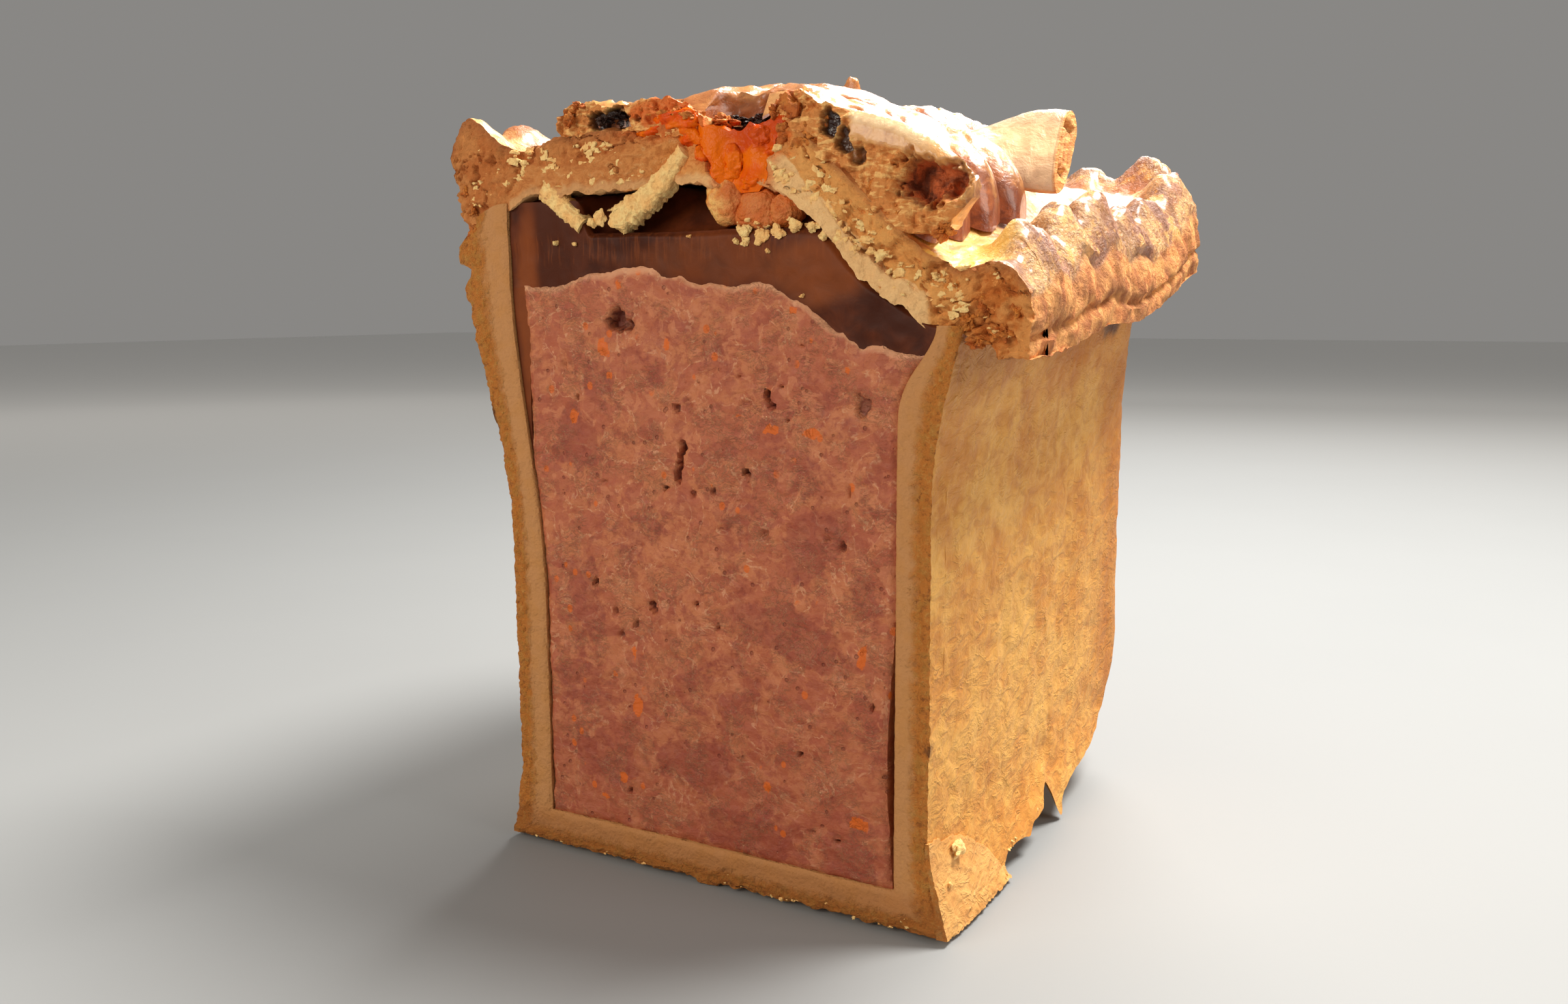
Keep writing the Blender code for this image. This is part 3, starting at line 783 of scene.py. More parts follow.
@dataclass(frozen=True)
class LidFinish:
    """The lid: egg-washed and browned on top, crumbly at the cut, cream underneath, stained at the hole."""

    wash: Shade = (242, 186, 120)
    brown: Shade = (178, 106, 56)
    dark: Shade = (112, 58, 30)
    mauve: Shade = (204, 158, 136)
    glow_yellow: Shade = (255, 202, 96)
    crumb: Shade = (200, 112, 40)
    gold: Shade = (244, 178, 98)
    shade: Shade = (140, 76, 32)
    cream: Shade = (230, 152, 78)
    lip: Shade = (255, 204, 142)
    skirt: Shade = (238, 166, 96)
    skirt_brown: Shade = (204, 124, 66)
    stain: Shade = (222, 104, 20)
    burnt: Shade = (52, 24, 14)

    def top_skin(self, r: Recipe, mottle: Field, fine: Field) -> Field:
        """Colour of the egg-washed top.

        Args:
            r: The recipe.
            mottle: Lumps of a few millimetres.
            fine: Lumps below a millimetre.

        Returns:
            The colour.
        """
        broad, rim = r.noise(11, 4, 0.6), r.mark("rim")
        skin = r.blend(broad.rise(0.42, 0.6), paint(self.wash), paint(self.brown))
        skin = skin.coat(mottle.rise(0.52, 0.7) * 0.6, self.brown)
        skin = skin.coat(mottle.rise(0.44, 0.3) * 0.55, self.wash)
        # Mauve on the rim, partly the skin's own colour and partly a painted highlight.
        skin = skin.coat(rim * broad.rise(0.5, 0.62) * 0.55, self.mauve)
        # Painted shade in the rim's creases.
        skin = skin.coat(rim * (r.mark("pit") + fine * 0.4).rise(0.6, 1.1) * 0.7, self.dark)
        bend = r.noise(2.4, 4, 0.62, 1.0) - 0.5
        skin = skin.coat(rim * (bend * bend * 500.0).rise(1.0, 0.2) * 0.45, self.dark)
        torn = r.noise(5.0, 5, 0.68).rise(0.55, 0.62)
        skin = skin.coat(rim * torn * 0.8, self.gold)
        # Painted glow and highlight: the basin's yellowish dough painted bright, as if lit from behind
        # through it.
        return skin.coat(r.mark("basin") * 0.9, self.glow_yellow)

    def make(self) -> bpy.types.Material:
        """Makes the material."""
        r = Recipe("egg-washed lid")
        cut, top, pit, seep = r.mark("cut"), r.mark("top"), r.mark("pit"), r.mark("stain")
        mottle, fine, grain = r.noise(3.2, 4, 0.65, 0.6), r.noise(0.9, 4, 0.65, 0.8), r.noise(0.7, 5, 0.68)
        side = r.blend(mottle.rise(0.42, 0.62), paint(self.skirt), paint(self.skirt_brown))
        # Painted shade in the creases and pits of the lid's sides.
        side = side.coat((pit + fine * 0.3).rise(0.5, 1.1) * 0.8, self.shade)
        skin = r.blend(top, side, self.top_skin(r, mottle, fine))
        flakes = r.noise(1.3, 5, 0.66, 1.2, place=r.stretched((0.75, 1, 1.2), (0, 0.3, 0)))
        crumb = r.blend(r.noise(4.2, 4, 0.65).rise(0.42, 0.6), paint(self.crumb), paint(self.cream, 0.9))
        # Golden crumb towards the right, partly the crumb's own colour and partly a painted glow of light
        # through the thin dough.
        crumb = crumb.coat(r.mark("gold") * (0.4 + 0.5 * flakes), self.gold)
        crumb = crumb.coat(flakes.rise(0.55, 0.67) * 0.75, self.cream, 1.18)
        cream = r.blend(flakes.rise(0.52, 0.4) * 0.7, paint(self.cream), paint(self.crumb, 0.94))
        cream = cream.coat(flakes.rise(0.56, 0.66) * 0.6, self.wash, 1.05)
        under = (r.mark("layer") + (mottle - 0.5) * 0.1).rise(0.2, 0.08) * 0.75
        right = (r.x + mottle * 0.004).rise(0.009, 0.016)
        cream = cream.coat(right.greatest(under) * (0.6 + 0.4 * flakes), self.lip)
        pale = (r.mark("cream") + (flakes - 0.5) * 0.5).rise(0.25, 0.75)
        face = r.blend(pale, crumb, cream)
        face = face.coat((r.x + mottle * 0.006).rise(0.006, -0.012) * 0.42, self.brown)
        face = face.coat((r.mark("layer") + (mottle - 0.5) * 0.3).rise(0.8, 1.04) * 0.75, self.brown, 0.9)
        # Painted shade where the cut lies deeper and in the hollows of its grain, weaker on the cream.
        face = face.coat((pit * 1.1 + (0.5 - grain) * 1.1).rise(0.4, 1.4) * (1 - pale * 0.5), self.shade)
        base = r.blend(cut, r.blend(r.mark("cream") * (1 - top), skin, cream), face)
        stain = r.blend(mottle.rise(0.45, 0.68) * 0.6, paint(self.stain), paint(self.shade))
        base = r.blend((seep + (mottle - 0.5) * 0.7).rise(0.1, 0.9) * 0.85, base, stain)
        base = base.coat(r.mark("burn"), self.burnt)
        gloss = top * (1 - cut)
        rough_rim = r.mark("rim") * (flakes * 1.2 + fine * 0.6)
        height = (fine * 0.6 + mottle * 0.7 + rough_rim) * (1 - cut) + (grain + flakes * 0.6) * cut
        rough = 0.72 - 0.4 * gloss + 0.16 * fine - 0.42 * r.mark("burn") - 0.3 * seep
        return r.finish(Base_Color=base, Roughness=rough, Normal=r.relief(height, 0.55, 0.85),
                        Coat_Weight=gloss * 0.35, Coat_Roughness=0.18, Specular_IOR_Level=0.42)


@dataclass(frozen=True)
class LeafFinish:
    """Egg-washed dough leaf: glossy, golden on the crests and deep brown at the tips and in the folds; the
    crests' gold and the folds' brown are partly a painted highlight and painted shade.
    """

    golden: Shade = (222, 160, 94)
    brown: Shade = (170, 98, 54)
    dark: Shade = (112, 52, 24)
    cave: Shade = (206, 100, 44)
    shine: Shade = (255, 222, 180)
    stain: Shade = (216, 98, 20)
    crumb: Shade = (210, 132, 62)
    cream: Shade = (244, 188, 112)
    burnt: Shade = (50, 24, 16)

    def make(self) -> bpy.types.Material:
        """Makes the material."""
        r = Recipe("glossy leaf")
        cut, tip, ridge, inner, burn = (r.mark(name) for name in ("cut", "tip", "ridge", "inner", "burn"))
        broad, mottle, fine = r.noise(8, 4, 0.6), r.noise(2.4, 4, 0.6, 0.5), r.noise(0.7, 4, 0.65)
        # The crests are painted golden and the sides brown and dark, partly a painted highlight and painted
        # shade.
        skin = r.blend((broad * 0.6 + ridge * 0.5).rise(0.4, 0.78), paint(self.brown), paint(self.golden))
        skin = skin.coat(mottle.rise(0.5, 0.66) * 0.45, self.brown)
        skin = skin.coat((tip + (mottle - 0.5) * 0.4).rise(0.84, 1.04) * 0.8, self.dark)
        skin = skin.coat((1 - ridge) * mottle.rise(0.4, 0.56) * 0.5, self.dark)
        # Painted highlight on the rolled tip and along the front flank.
        skin = skin.coat(r.mark("shine") * (1.1 - mottle * 0.8), self.shine)
        layers = r.noise(1.0, 4, 0.65, 0.5, place=r.stretched((0.5, 0.5, 1.6), (0, 0.2, 0)))
        face = r.blend(layers.rise(0.46, 0.64), paint(self.crumb), paint(self.cream))
        # Painted shade in the crumb's pits and in the gaps between the rolled tip's layers.
        face = face.coat((r.mark("pit") + (0.5 - fine)).rise(0.4, 1.2) * 0.85, self.dark)
        face = face.coat((r.mark("seep") + (mottle - 0.5) * 0.5).rise(0.2, 0.8) * 0.8, self.stain)
        base = r.blend(cut.greatest(r.mark("fold")), skin, face)
        cave = r.blend(mottle.rise(0.34, 0.62), paint(self.dark, 1.1), paint(self.cave))
        base = r.blend(burn, r.blend(inner, base, cave), paint(self.burnt))
        matt = cut.greatest(inner).greatest(r.mark("fold")) * (1 - burn)
        normal = r.relief(fine * (0.3 + matt * 0.6) + mottle * 0.8 + layers * matt, 0.4, 0.75)
        return r.finish(Base_Color=base, Roughness=0.25 + 0.42 * matt + 0.12 * mottle, Normal=normal,
                        Coat_Weight=(1 - matt) * 0.45, Coat_Roughness=0.14, Specular_IOR_Level=0.5)


@dataclass(frozen=True)
class MeatFinish:
    """Coarse forcemeat: pink-brown with darker ham, pale sinew, orange spice specks and small voids."""

    pink: Shade = (174, 92, 58)
    pale: Shade = (192, 114, 72)
    fat: Shade = (204, 128, 86)
    lean: Shade = (170, 84, 57)
    ham: Shade = (146, 62, 42)
    deep: Shade = (108, 38, 28)
    sinew: Shade = (226, 168, 126)
    spice: Shade = (214, 98, 12)

    def flesh(self, r: Recipe, slanted: Field, fine: Field) -> Field:
        """Colour of the flesh without flecks, spice and voids.

        Args:
            r: The recipe.
            slanted: Coordinates that lean as the mass was pressed in.
            fine: Lumps below a millimetre.

        Returns:
            The colour.
        """
        mid, small = r.noise(4.2, 5, 0.62, 0.9, slanted), r.noise(1.4, 4, 0.66, 0.8)
        base = r.blend((mid * 0.5 + small * 0.5).rise(0.42, 0.58), paint(self.pale), paint(self.pink))
        lean = r.noise(6.5, 4, 0.55, 0.8)
        base = base.coat(lean.rise(0.515, 0.545) * 0.5, self.lean)
        rim = (lean - 0.512).rise(0.014, 0.0) * (lean - 0.49).rise(0.0, 0.012)
        base = base.coat(rim * small.rise(0.46, 0.56) * 0.5, self.sinew)
        chunk = r.noise(5.2, 4, 0.55, 0.6, r.stretched((1, 1, 1.3), (0, -0.7, 0)))
        base = base.coat(chunk.rise(0.57, 0.6) * 0.4, self.ham)
        base = base.coat(r.noise(2.6, 4, 0.6, 0.6).rise(0.585, 0.61) * 0.4, self.ham)
        base = base.coat(r.noise(3.4, 4, 0.6, 0.8).rise(0.43, 0.405) * 0.5, self.fat)
        ham = (r.mark("ham") + (mid - 0.5) + (small - 0.5) * 0.4).rise(0.4, 0.7)
        base = base.coat(ham * 0.55, self.ham)
        base = base.coat(ham * small.rise(0.54, 0.6) * 0.25, self.deep)
        # Darker towards the bottom, in the ham's colour.
        base = base.coat(r.z.rise(0.05, 0.01) * 0.26, self.ham)
        return base.coat(fine.rise(0.57, 0.68) * 0.3, self.ham)

    def make(self) -> bpy.types.Material:
        """Makes the material."""
        r = Recipe("coarse forcemeat")
        hole = r.mark("hole")
        slanted = r.stretched((0.8, 1.0, 1.25), (0, 0.5, 0))
        fine = r.noise(0.6, 4, 0.68)
        base = self.flesh(r, slanted, fine)
        bend = r.noise(2.1, 5, 0.7, 2.2, slanted) - 0.5
        seam = (bend * bend * 1600.0).rise(1.0, 0.0) * r.noise(6, 3).rise(0.46, 0.58)
        base = base.coat(seam * 0.34, self.sinew)
        fleck = r.noise(0.7, 3, 0.7, 1.6).rise(0.64, 0.7) * r.noise(6, 2).rise(0.5, 0.6)
        base = base.coat(fleck * 0.85, self.sinew, 1.15)
        # Painted shade in the small pits, which the relief also sinks.
        pin = r.cells(2.1).rise(0.17, 0.1) * r.noise(4, 2).rise(0.48, 0.54)
        base = base.coat(pin * 0.45, self.deep)
        dot = r.cells(3.4, place=r.stretched((1, 1, 0.8), (0.4, 0.2, 0))).rise(0.17, 0.13)
        base = base.coat(dot * r.noise(9, 2).rise(0.5, 0.56) * 0.8, self.spice)
        base = base.coat((r.mark("spice") + (fine - 0.5) * 0.8).rise(0.45, 0.75) * 0.92, self.spice)
        base = base.coat(r.mark("edge") * 0.65, self.sinew)
        # Painted shade in the voids at the cut.
        base = base.coat(hole.rise(0.15, 0.7) * 0.85, self.deep, 0.62)
        wet = r.noise(3, 3).rise(0.5, 0.7)
        height = r.noise(1.5, 5, 0.66, 0.9, slanted) + seam * 0.3 + fine * 0.4 - pin * 0.9 + fleck * 0.5
        return r.finish(Base_Color=base, Roughness=0.5 - 0.14 * wet + 0.12 * fine,
                        Normal=r.relief(height, 0.3, 0.8), Specular_IOR_Level=0.4,
                        Subsurface_Weight=0.06, Subsurface_Radius=(1.0, 0.35, 0.2), Subsurface_Scale=0.0007)


@dataclass(frozen=True)
class AspicFinish:
    """Brown aspic: dark where it is deep, amber where light comes through, with fine upright streaks."""

    deep: Shade = (64, 26, 11)
    brown: Shade = (94, 42, 18)
    amber: Shade = (138, 70, 30)

    def make(self) -> bpy.types.Material:
        """Makes the material."""
        r = Recipe("brown aspic")
        broad, cloud = r.noise(13, 3), r.noise(3.5, 4, 0.6, 0.6)
        streak = r.noise(0.8, 3, 0.6, place=r.stretched((1.0, 1.0, 0.1), (0, 0.22, 0)))
        base = r.blend((broad * 0.7 + cloud * 0.3).rise(0.42, 0.58), paint(self.deep), paint(self.brown))
        base = base.coat(r.x.rise(-0.017, -0.025) * r.x.rise(-0.0305, -0.0285) * 0.6, self.deep, 0.8)
        base = base.coat(r.mark("light") * (0.6 + 0.5 * cloud), self.amber)
        line = r.z.rise(0.0915, 0.0935) * r.z.rise(0.0975, 0.0955)
        base = base.coat(streak.rise(0.5, 0.66) * line * 0.35, self.amber)
        normal = r.relief(streak * 0.3 + cloud, 0.25, 0.4)
        return r.finish(Base_Color=base, Roughness=0.42 + 0.14 * broad, Normal=normal,
                        Specular_IOR_Level=0.12)


@dataclass(frozen=True)
class HoleJellyFinish:
    """Jelly baked to orange in the steam hole."""

    glow: Shade = (230, 106, 4)
    orange: Shade = (220, 78, 4)
    brown: Shade = (194, 66, 12)

    def make(self) -> bpy.types.Material:
        """Makes the material."""
        r = Recipe("baked orange jelly")
        broad, fine = r.noise(4.5, 3, 0.5, 0.8), r.noise(1.2, 3)
        base = r.blend(broad.rise(0.42, 0.6), paint(self.glow), paint(self.orange))
        high = (r.z + broad * 0.008).rise(0.1095, 0.113) * r.x.rise(0.001, 0.007)
        base = base.coat((broad * 0.8 + fine * 0.3).rise(0.6, 0.72).greatest(high) * 0.85, self.brown)
        normal = r.relief(broad + fine * 0.5, 0.9, 0.8)
        return r.finish(Base_Color=base, Roughness=0.26 + 0.16 * fine, Normal=normal, Specular_IOR_Level=0.14)


@dataclass(frozen=True)
class CrumbFinish:
    """Loose and torn dough: cream, or browner where it caught the heat."""

    name: str = "torn dough"
    cream: Shade = (255, 214, 142)
    golden: Shade = (250, 196, 122)
    shade: Shade = (220, 152, 82)
    rough: float = 0.7
    soaked: bool = False

    def make(self) -> bpy.types.Material:
        """Makes the material."""
        r = Recipe(self.name)
        broad, fine = r.noise(2.4, 4, 0.6), r.noise(0.6, 4, 0.6)
        base = r.blend(broad.rise(0.42, 0.62), paint(self.cream), paint(self.golden))
        base = base.coat(fine.rise(0.56, 0.38) * 0.5, self.shade)
        if self.soaked:
            base = base.coat((r.x + broad * 0.006).rise(0.0045, 0.0085) * 0.75, self.shade)
        return r.finish(Base_Color=base, Roughness=self.rough, Normal=r.relief(fine + broad, 0.45, 0.8),
                        Specular_IOR_Level=0.35)


@dataclass(frozen=True)
class FloorFinish:
    """A pale floor, painted darker near the block, where the key lamp falls, and paler far away, where the
    lamps' light falls off.
    """

    pale: Shade = (144, 146, 147)
    far: Shade = (238, 238, 236)

    def make(self) -> bpy.types.Material:
        """Makes the material."""
        r = Recipe("pale floor")
        base = r.blend(r.noise(60, 2), paint(self.pale), paint(self.pale, 0.97))
        # Painted light: the floor grows paler with distance, standing in for light the lamps don't give far
        # away.
        base = base.coat((r.x * r.x + r.y * r.y).rise(0.05, 1.2), self.far)
        return r.finish(Base_Color=base, Roughness=0.6, Specular_IOR_Level=0.2)


# ------------------------------------------------------------------ pieces

class CutPiece:
    """A piece in two blocks of one form: finely made at the cut and more coarsely behind it."""

    cut_cells: tuple[int, int, int]
    cells: tuple[int, int, int]
    split: float                   # how far back the front block reaches, as a share of the depth
    lap: float = 0.93              # where the back block starts, as a share of the front one

    def halves(self, names: tuple[str, str], knots: tuple, finish: bpy.types.Material, node: str, slot: str,
               angle: float = 55.0) -> None:
        """Makes both blocks.

        Args:
            names: The names of the front and the back block.
            knots: Knots that spread the back block's cells.
            finish: Their material.
            node: As for dress.
            slot: Not used.
            angle: As for dress.
        """
        front, back = ((0, 0), (1, self.split)), ((0, self.split * self.lap), *knots, (1, 1))
        blocks = (Block(names[0], self.cut_cells, (None, front, None)),
                  Block(names[1], self.cells, (None, back, None), fresh=False))
        for block in blocks:
            dress(block.build(self.point, self.marks), finish, node, angle)


@dataclass
class CrustCase(CutPiece):
    """The case: two side walls, the floor and the baked end, with its cut edge and torn lower edge."""

    cut_cells: tuple[int, int, int] = (700, 8, 20)
    cells: tuple[int, int, int] = (300, 134, 10)
    split: float = 0.04
    burns: tuple = ((-39.3, 67.5, 1.5, 2.4, 0.95), (-38.6, 64.5, 0.8, 0.9, 0.7),
                    (36.6, 27, 1, 1.3, 0.95), (37.2, 26.2, 0.7, 0.9, 1))
    wall_burns: tuple = ((76.5, 83, 3.6, 2.4, 0.9), (73, 81.5, 2.4, 1.6, 0.7), (80, 84, 2.6, 1.4, 0.6))

    def crag(self, x: Array, depth: Array, height: Array) -> Array:
        """How far the outer skin is worn in, as a share of the wall."""
        wave = 0.025 * (1 + Noise(6, 3).lumps(x, depth, height))
        edge = bump(depth / 7)
        small = 0.05 * Noise(0.9, 4, 4).ridges(x, depth, height) * edge
        notch = Noise(2.2, 9, 3).lumps(x * 0.5, depth * 0.6, height)
        left = bump((height - 97.5) / 2.2) * 0.3 + bump((height - 90.5) / 1.6) * 0.16
        left = left - 0.16 * bump((height - 94) / 3) + 0.1 * notch * ease((height - 82) / 8)
        left = left * bump(depth / 15) * (x < 0)
        off_board = ease((height - 0.5) / 2)
        return (wave + small + left) * off_board

    def cut_relief(self, x: Array, height: Array, w: Array) -> Array:
        """How far the cut is worn in: rough in the brown band and smooth in the cream one."""
        brown = 1 - ease((w - 0.3 + 0.14 * Noise(2.2, 13, 4).lumps(x, 0, height)) / 0.3)
        rough = 0.4 * Noise(0.8, 5, 4).ridges(x, 0, height)
        pits = 0.28 * ease((Noise(1.7, 6, 3).lumps(x, 0, height) - 0.1) / 0.5)
        smooth = 0.12 * (1 + Noise(1.8, 7, 4).lumps(x, 0, height))
        border = 0.3 * (1 - ease(w / 0.14)) + 0.3 * ease((w - 0.92) / 0.08)
        return (0.15 + rough + pits) * brown + smooth * (1 - brown) + border

    def point(self, u: Array, v: Array, w: Array) -> Point:
        """A point of the crust with its wear."""
        outer = FORM.case_point(u, v, 0 * w)
        x, depth, height = FORM.case_point(u, v, w + self.crag(*outer) * (1 - w) ** 2)
        near = fade(depth / 5)
        depth = depth + self.cut_relief(x, height, w) * near
        ragged = Noise(1.7, 8, 3).ridges(x, depth, height)
        lift = ragged * near * (1 - ease(height / 2.5)) * (np.abs(x) > 2)
        ridges = np.where((x > 30) & (w < 0.01), 1.0, 0.0) * bump((depth - 60) / 9)
        dent = 0.4 * ridges * (0.5 + 0.5 * np.sin(depth / 0.6)) * ease((height - 14) / 18)
        soft = 0.35 * Noise(5, 14).lumps(x, depth, height) * (w < 0.01) * (1 - near) * ease(height / 9)
        hem = FORM.torn_edge(np.ones_like(x), depth)
        curl = 0.9 * bump((height - hem) / 4.5) * bump((depth - 38) / 17) * (x > 30) * (1 - w)
        return x - dent - np.abs(soft) * np.sign(x) + curl, depth, height + lift

    def marks(self, u: Array, v: Array, w: Array, x: Array, depth: Array, height: Array) -> Marks:
        """Bands and burns of the crust, and how far its cut lies back, for the shade painted in the cut's
        pits.
        """
        wobble = 0.4 * Noise(1.3, 11, 2).lumps(x, depth, height)
        front = spots(x, height, self.burns, wobble) * bump(depth / 2.4)
        side = spots(depth, height, self.wall_burns, wobble) * (x > 20) * (w < 0.5)
        # How far the cut lies back, used to paint shade into its pits.
        return {"layer": w, "burn": np.maximum(front, side), "pit": np.clip((depth - 0.45) / 1.2, 0, 1),
                "foot": (1 - ease(height / 1.6)) * (w < 0.4)}

    def build(self) -> None:
        """Makes the cut edge finely and the rest of the case behind it."""
        knots = ((0.15, 0.165), (0.49, 0.385), (0.64, 0.6), (0.74, 0.85))
        self.halves(("crust_cut", "crust_case"), knots, CrustFinish().make(), "pastry_case", "crust")


@dataclass
class LidCap(CutPiece):
    """The lid with its pinched rim, its crumbly cut and the steam hole."""

    cut_cells: tuple[int, int, int] = (390, 10, 60)
    cells: tuple[int, int, int] = (200, 170, 14)
    split: float = 0.07
    stains: tuple = ((6, 108.6, 7.6, 3.8, 1), (6.8, 103.8, 5, 3.2, 0.8), (-7, 110.4, 7, 1.6, 0.7))
    chars: tuple = ((21, 105.6, 1.4, 1, 0.6),)
    basins: tuple = ((38.5, 5, 5, 7, 1), (33, 14, 4, 9, 0.6))
    cream_line: tuple = ((-36, 3), (-30, 3.6), (-18, 4.4), (-8, 7), (4, 6), (12, 5), (20, 4.2), (33, 3.6))

    def hole(self, x: Array, height: Array) -> Array:
        """How deep the steam hole reaches behind the cut."""
        floor = FORM.hole_floor - 2.2
        share = (height - floor) / (FORM.plug_top - floor)
        radius = FORM.hole_radius[0] + (FORM.hole_radius[1] - FORM.hole_radius[0]) * np.clip(share, 0, 1.6)
        uneven = 1 + 0.2 * Noise(2.4, 20).lumps(0, height, height)
        radius = radius * (0.66 + 0.34 * ease(share / 0.8)) * uneven
        away = x - FORM.hole_x + Noise(2.6, 38, 3).lumps(0, x * 0.3, height)
        deep = np.sqrt(np.clip(radius**2 - away**2, 0, None))
        return deep * ease((height - floor) / 1.2)

    def skin(self, x: Array, depth: Array) -> Array:
        """Relief of the lid's top: blisters, and wrinkles and lumps on the pinched rim."""
        rim = self.rim_share(x, depth)
        soft = 0.45 * Noise(7, 21).lumps(x, depth, 0)
        wrinkle = Noise(3.9, 22, 3).ridges(x * 0.7, depth, 0)
        lump = Noise(6.5, 30, 3).lumps(x, depth, 0)
        calm = 0.35 + 0.65 * ease(depth / 12)
        return soft + (1.1 * lump - 0.8 * wrinkle) * rim * calm + 0.3 * Noise(2.2, 23).lumps(x, depth, 0)

    def rim_share(self, x: Array, depth: Array) -> Array:
        """1 on the pinched rim, fading to 0 on the flat of the lid."""
        left, right = FORM.lid_edges(depth)
        away = np.minimum(np.minimum(x - left, right - x), FORM.lid_far - depth)
        return 1 - ease((away - 6) / 5)

    def point(self, u: Array, v: Array, w: Array) -> Point:
        """A point of the lid."""
        depth = FORM.lid_far * v
        left, right = FORM.lid_edges(depth)
        x = left + (right - left) * u
        low = FORM.lid_under(x, depth)
        high = FORM.lid_top(x, depth) + FORM.lid_rim(x, depth) + self.skin(x, depth)
        near = bump(depth / 12)
        inside = ease((36 - np.abs(x)) / 6)
        low = low + near * 0.8 * Noise(2.0, 24, 4).lumps(x, depth, 0) * inside
        hang = ease((np.abs(x) - 31) / 4) * (1 - ease((np.abs(x) - 41) / 3))
        low = low - (1.4 + 0.5 * Noise(2.6, 31).lumps(x, depth, 0)) * hang
        low = low - 1.2 * Noise(3.2, 32, 3).ridges(x, depth, 0) * ease((x - 40) / 3) * (1 - v) ** 2
        height = low + (high - low) * w
        bulge = 0.8 * np.sin(math.pi * w)
        lump = 0.7 * Noise(3.7, 25, 4).ridges(x, depth, height)
        lump = lump + 0.7 * Noise(6.0, 37, 3).lumps(x, depth * 0.8, height)
        crack = 0.9 * bump((w - 0.34 - 0.05 * Noise(9, 33).lumps(x, depth, 0)) / 0.1)
        worn = bulge - lump - crack
        crease = 0.9 * Noise(2.6, 39, 4).ridges(x, depth, height) * w * (1 - near) * self.rim_share(x, depth)
        x, height = x - crease * np.sign(x) * ease((np.abs(x) - 20) / 10), height - 0.5 * crease
        x = x + worn * (np.where(u > 0.999, 1.0, 0.0) - np.where(u < 0.001, 1.0, 0.0))
        x = x + 2.6 * (1 - w) ** 1.3 * (1 - u) ** 9
        depth = depth + worn * np.where(v > 0.999, 1.0, 0.0)
        return x, depth + self.wear(x, depth, height, low, w), height

    def wear(self, x: Array, depth: Array, height: Array, low: Array, w: Array) -> Array:
        """How far the cut is worn in, with the steam hole."""
        chunk = 0.9 * ease((Noise(2.6, 27, 4).lumps(x * 0.85, 0, height) + 0.05) / 0.6)
        crumb = 0.8 * Noise(1.1, 26, 4).ridges(x * 0.9, 0, height)
        line = Noise(5, 34, 4).lumps(x * 0.6, 0, height * 1.1)
        split = 0.6 * bump(line / 0.06) * (Noise(9, 35).lumps(x, 0, height) > 0.05)
        away = np.abs((x + 2.4) * 0.62 - (height - 107.8) * 0.785)
        split = split + 1.5 * bump(away / 3.4) * bump((x + 4) / 9)
        pale = 1 - self.cream(x, height, low)
        seam = 1.7 * bump((height - low - 3.7) / 0.6) * bump((x - 26) / 8)
        worn = 0.2 + (chunk + crumb) * (0.45 + 0.55 * pale) + split + seam + 2.4 * self.char(x, height)
        worn = worn * fade(depth / 7)
        return worn + self.hole(x, height) * fade(depth / 20)

    def cream(self, x: Array, height: Array, low: Array) -> Array:
        """1 in the cream layer over the filling, else 0."""
        wobble = 0.9 * Noise(3, 36, 3).lumps(x, 0, height)
        inside = ease((x + 35.5) / 2.5) * ease((36.5 - x) / 3)
        return (1 - ease((height - low - profile(self.cream_line, x) + wobble) / 1.2 + 0.5)) * inside

    def char(self, x: Array, height: Array) -> Array:
        """Dark glossy blisters at the cut."""
        return spots(x, height, self.chars, 0.35 * Noise(1.4, 28, 2).lumps(x, 0, height))

    def marks(self, u: Array, v: Array, w: Array, x: Array, depth: Array, height: Array) -> Marks:
        """Where the lid is browned, cream, stained or burnt, where the basin is yellowish with a painted
        glow, and where shade is painted in its pits and creases.
        """
        wobble = 0.35 * Noise(2.4, 29).lumps(x, depth, height)
        hidden = fade(depth / 10)
        low = FORM.lid_under(x, np.maximum(depth - 1, 0))
        rim = self.rim_share(x, depth) * ease(np.hypot(x + 40, depth) / 30)
        # Depth of the cut's pits, and the rim's creases elsewhere, for painted shade.
        wrinkle = Noise(3.9, 22, 3).ridges(x * 0.7, depth, height * (w < 0.95))
        pit = np.clip((depth - self.hole(x, height) * hidden) / 2.2 - 0.3, 0, 1)
        pit = np.where(v < 0.005, pit, wrinkle * self.rim_share(x, depth))
        return {"layer": w, "top": ease((w - 0.9) / 0.1), "rim": rim, "pit": pit,
                "basin": spots(x, depth, self.basins, wobble) * (w > 0.8),
                "cream": self.cream(x, height, low),
                "stain": spots(x, height, self.stains, wobble, 1.2) * hidden,
                "gold": ease((x - 11) / 7) * ease((42 - x) / 7) * hidden,
                "burn": self.char(x, height) * hidden}

    def build(self) -> None:
        """Makes the cut finely and the rest of the lid behind it."""
        self.halves(("lid_cut", "lid_cap"), ((0.3, 0.24),), LidFinish().make(), "pastry_lid", "lid_crust")


def leaf_line(x: Array, depth: Array) -> Array:
    """How high the leaf may stand: low over its cut and rising fast behind it.

    Args:
        x: Place across.
        depth: Place behind the cut.

    Returns:
        The height.
    """
    line = ((-26, 113.6), (-21, 114.4), (-14.4, 113.2), (-9.9, 113.8), (-6, 113.9), (-1, 111.9), (3, 110.6),
            (9, 110.4), (12.5, 112.6), (16, 113.4), (19, 111.6), (24, 110.2), (30, 108.4), (36, 105),
            (41, 101))
    return profile(line, x) + 1.3 * (depth - 3)


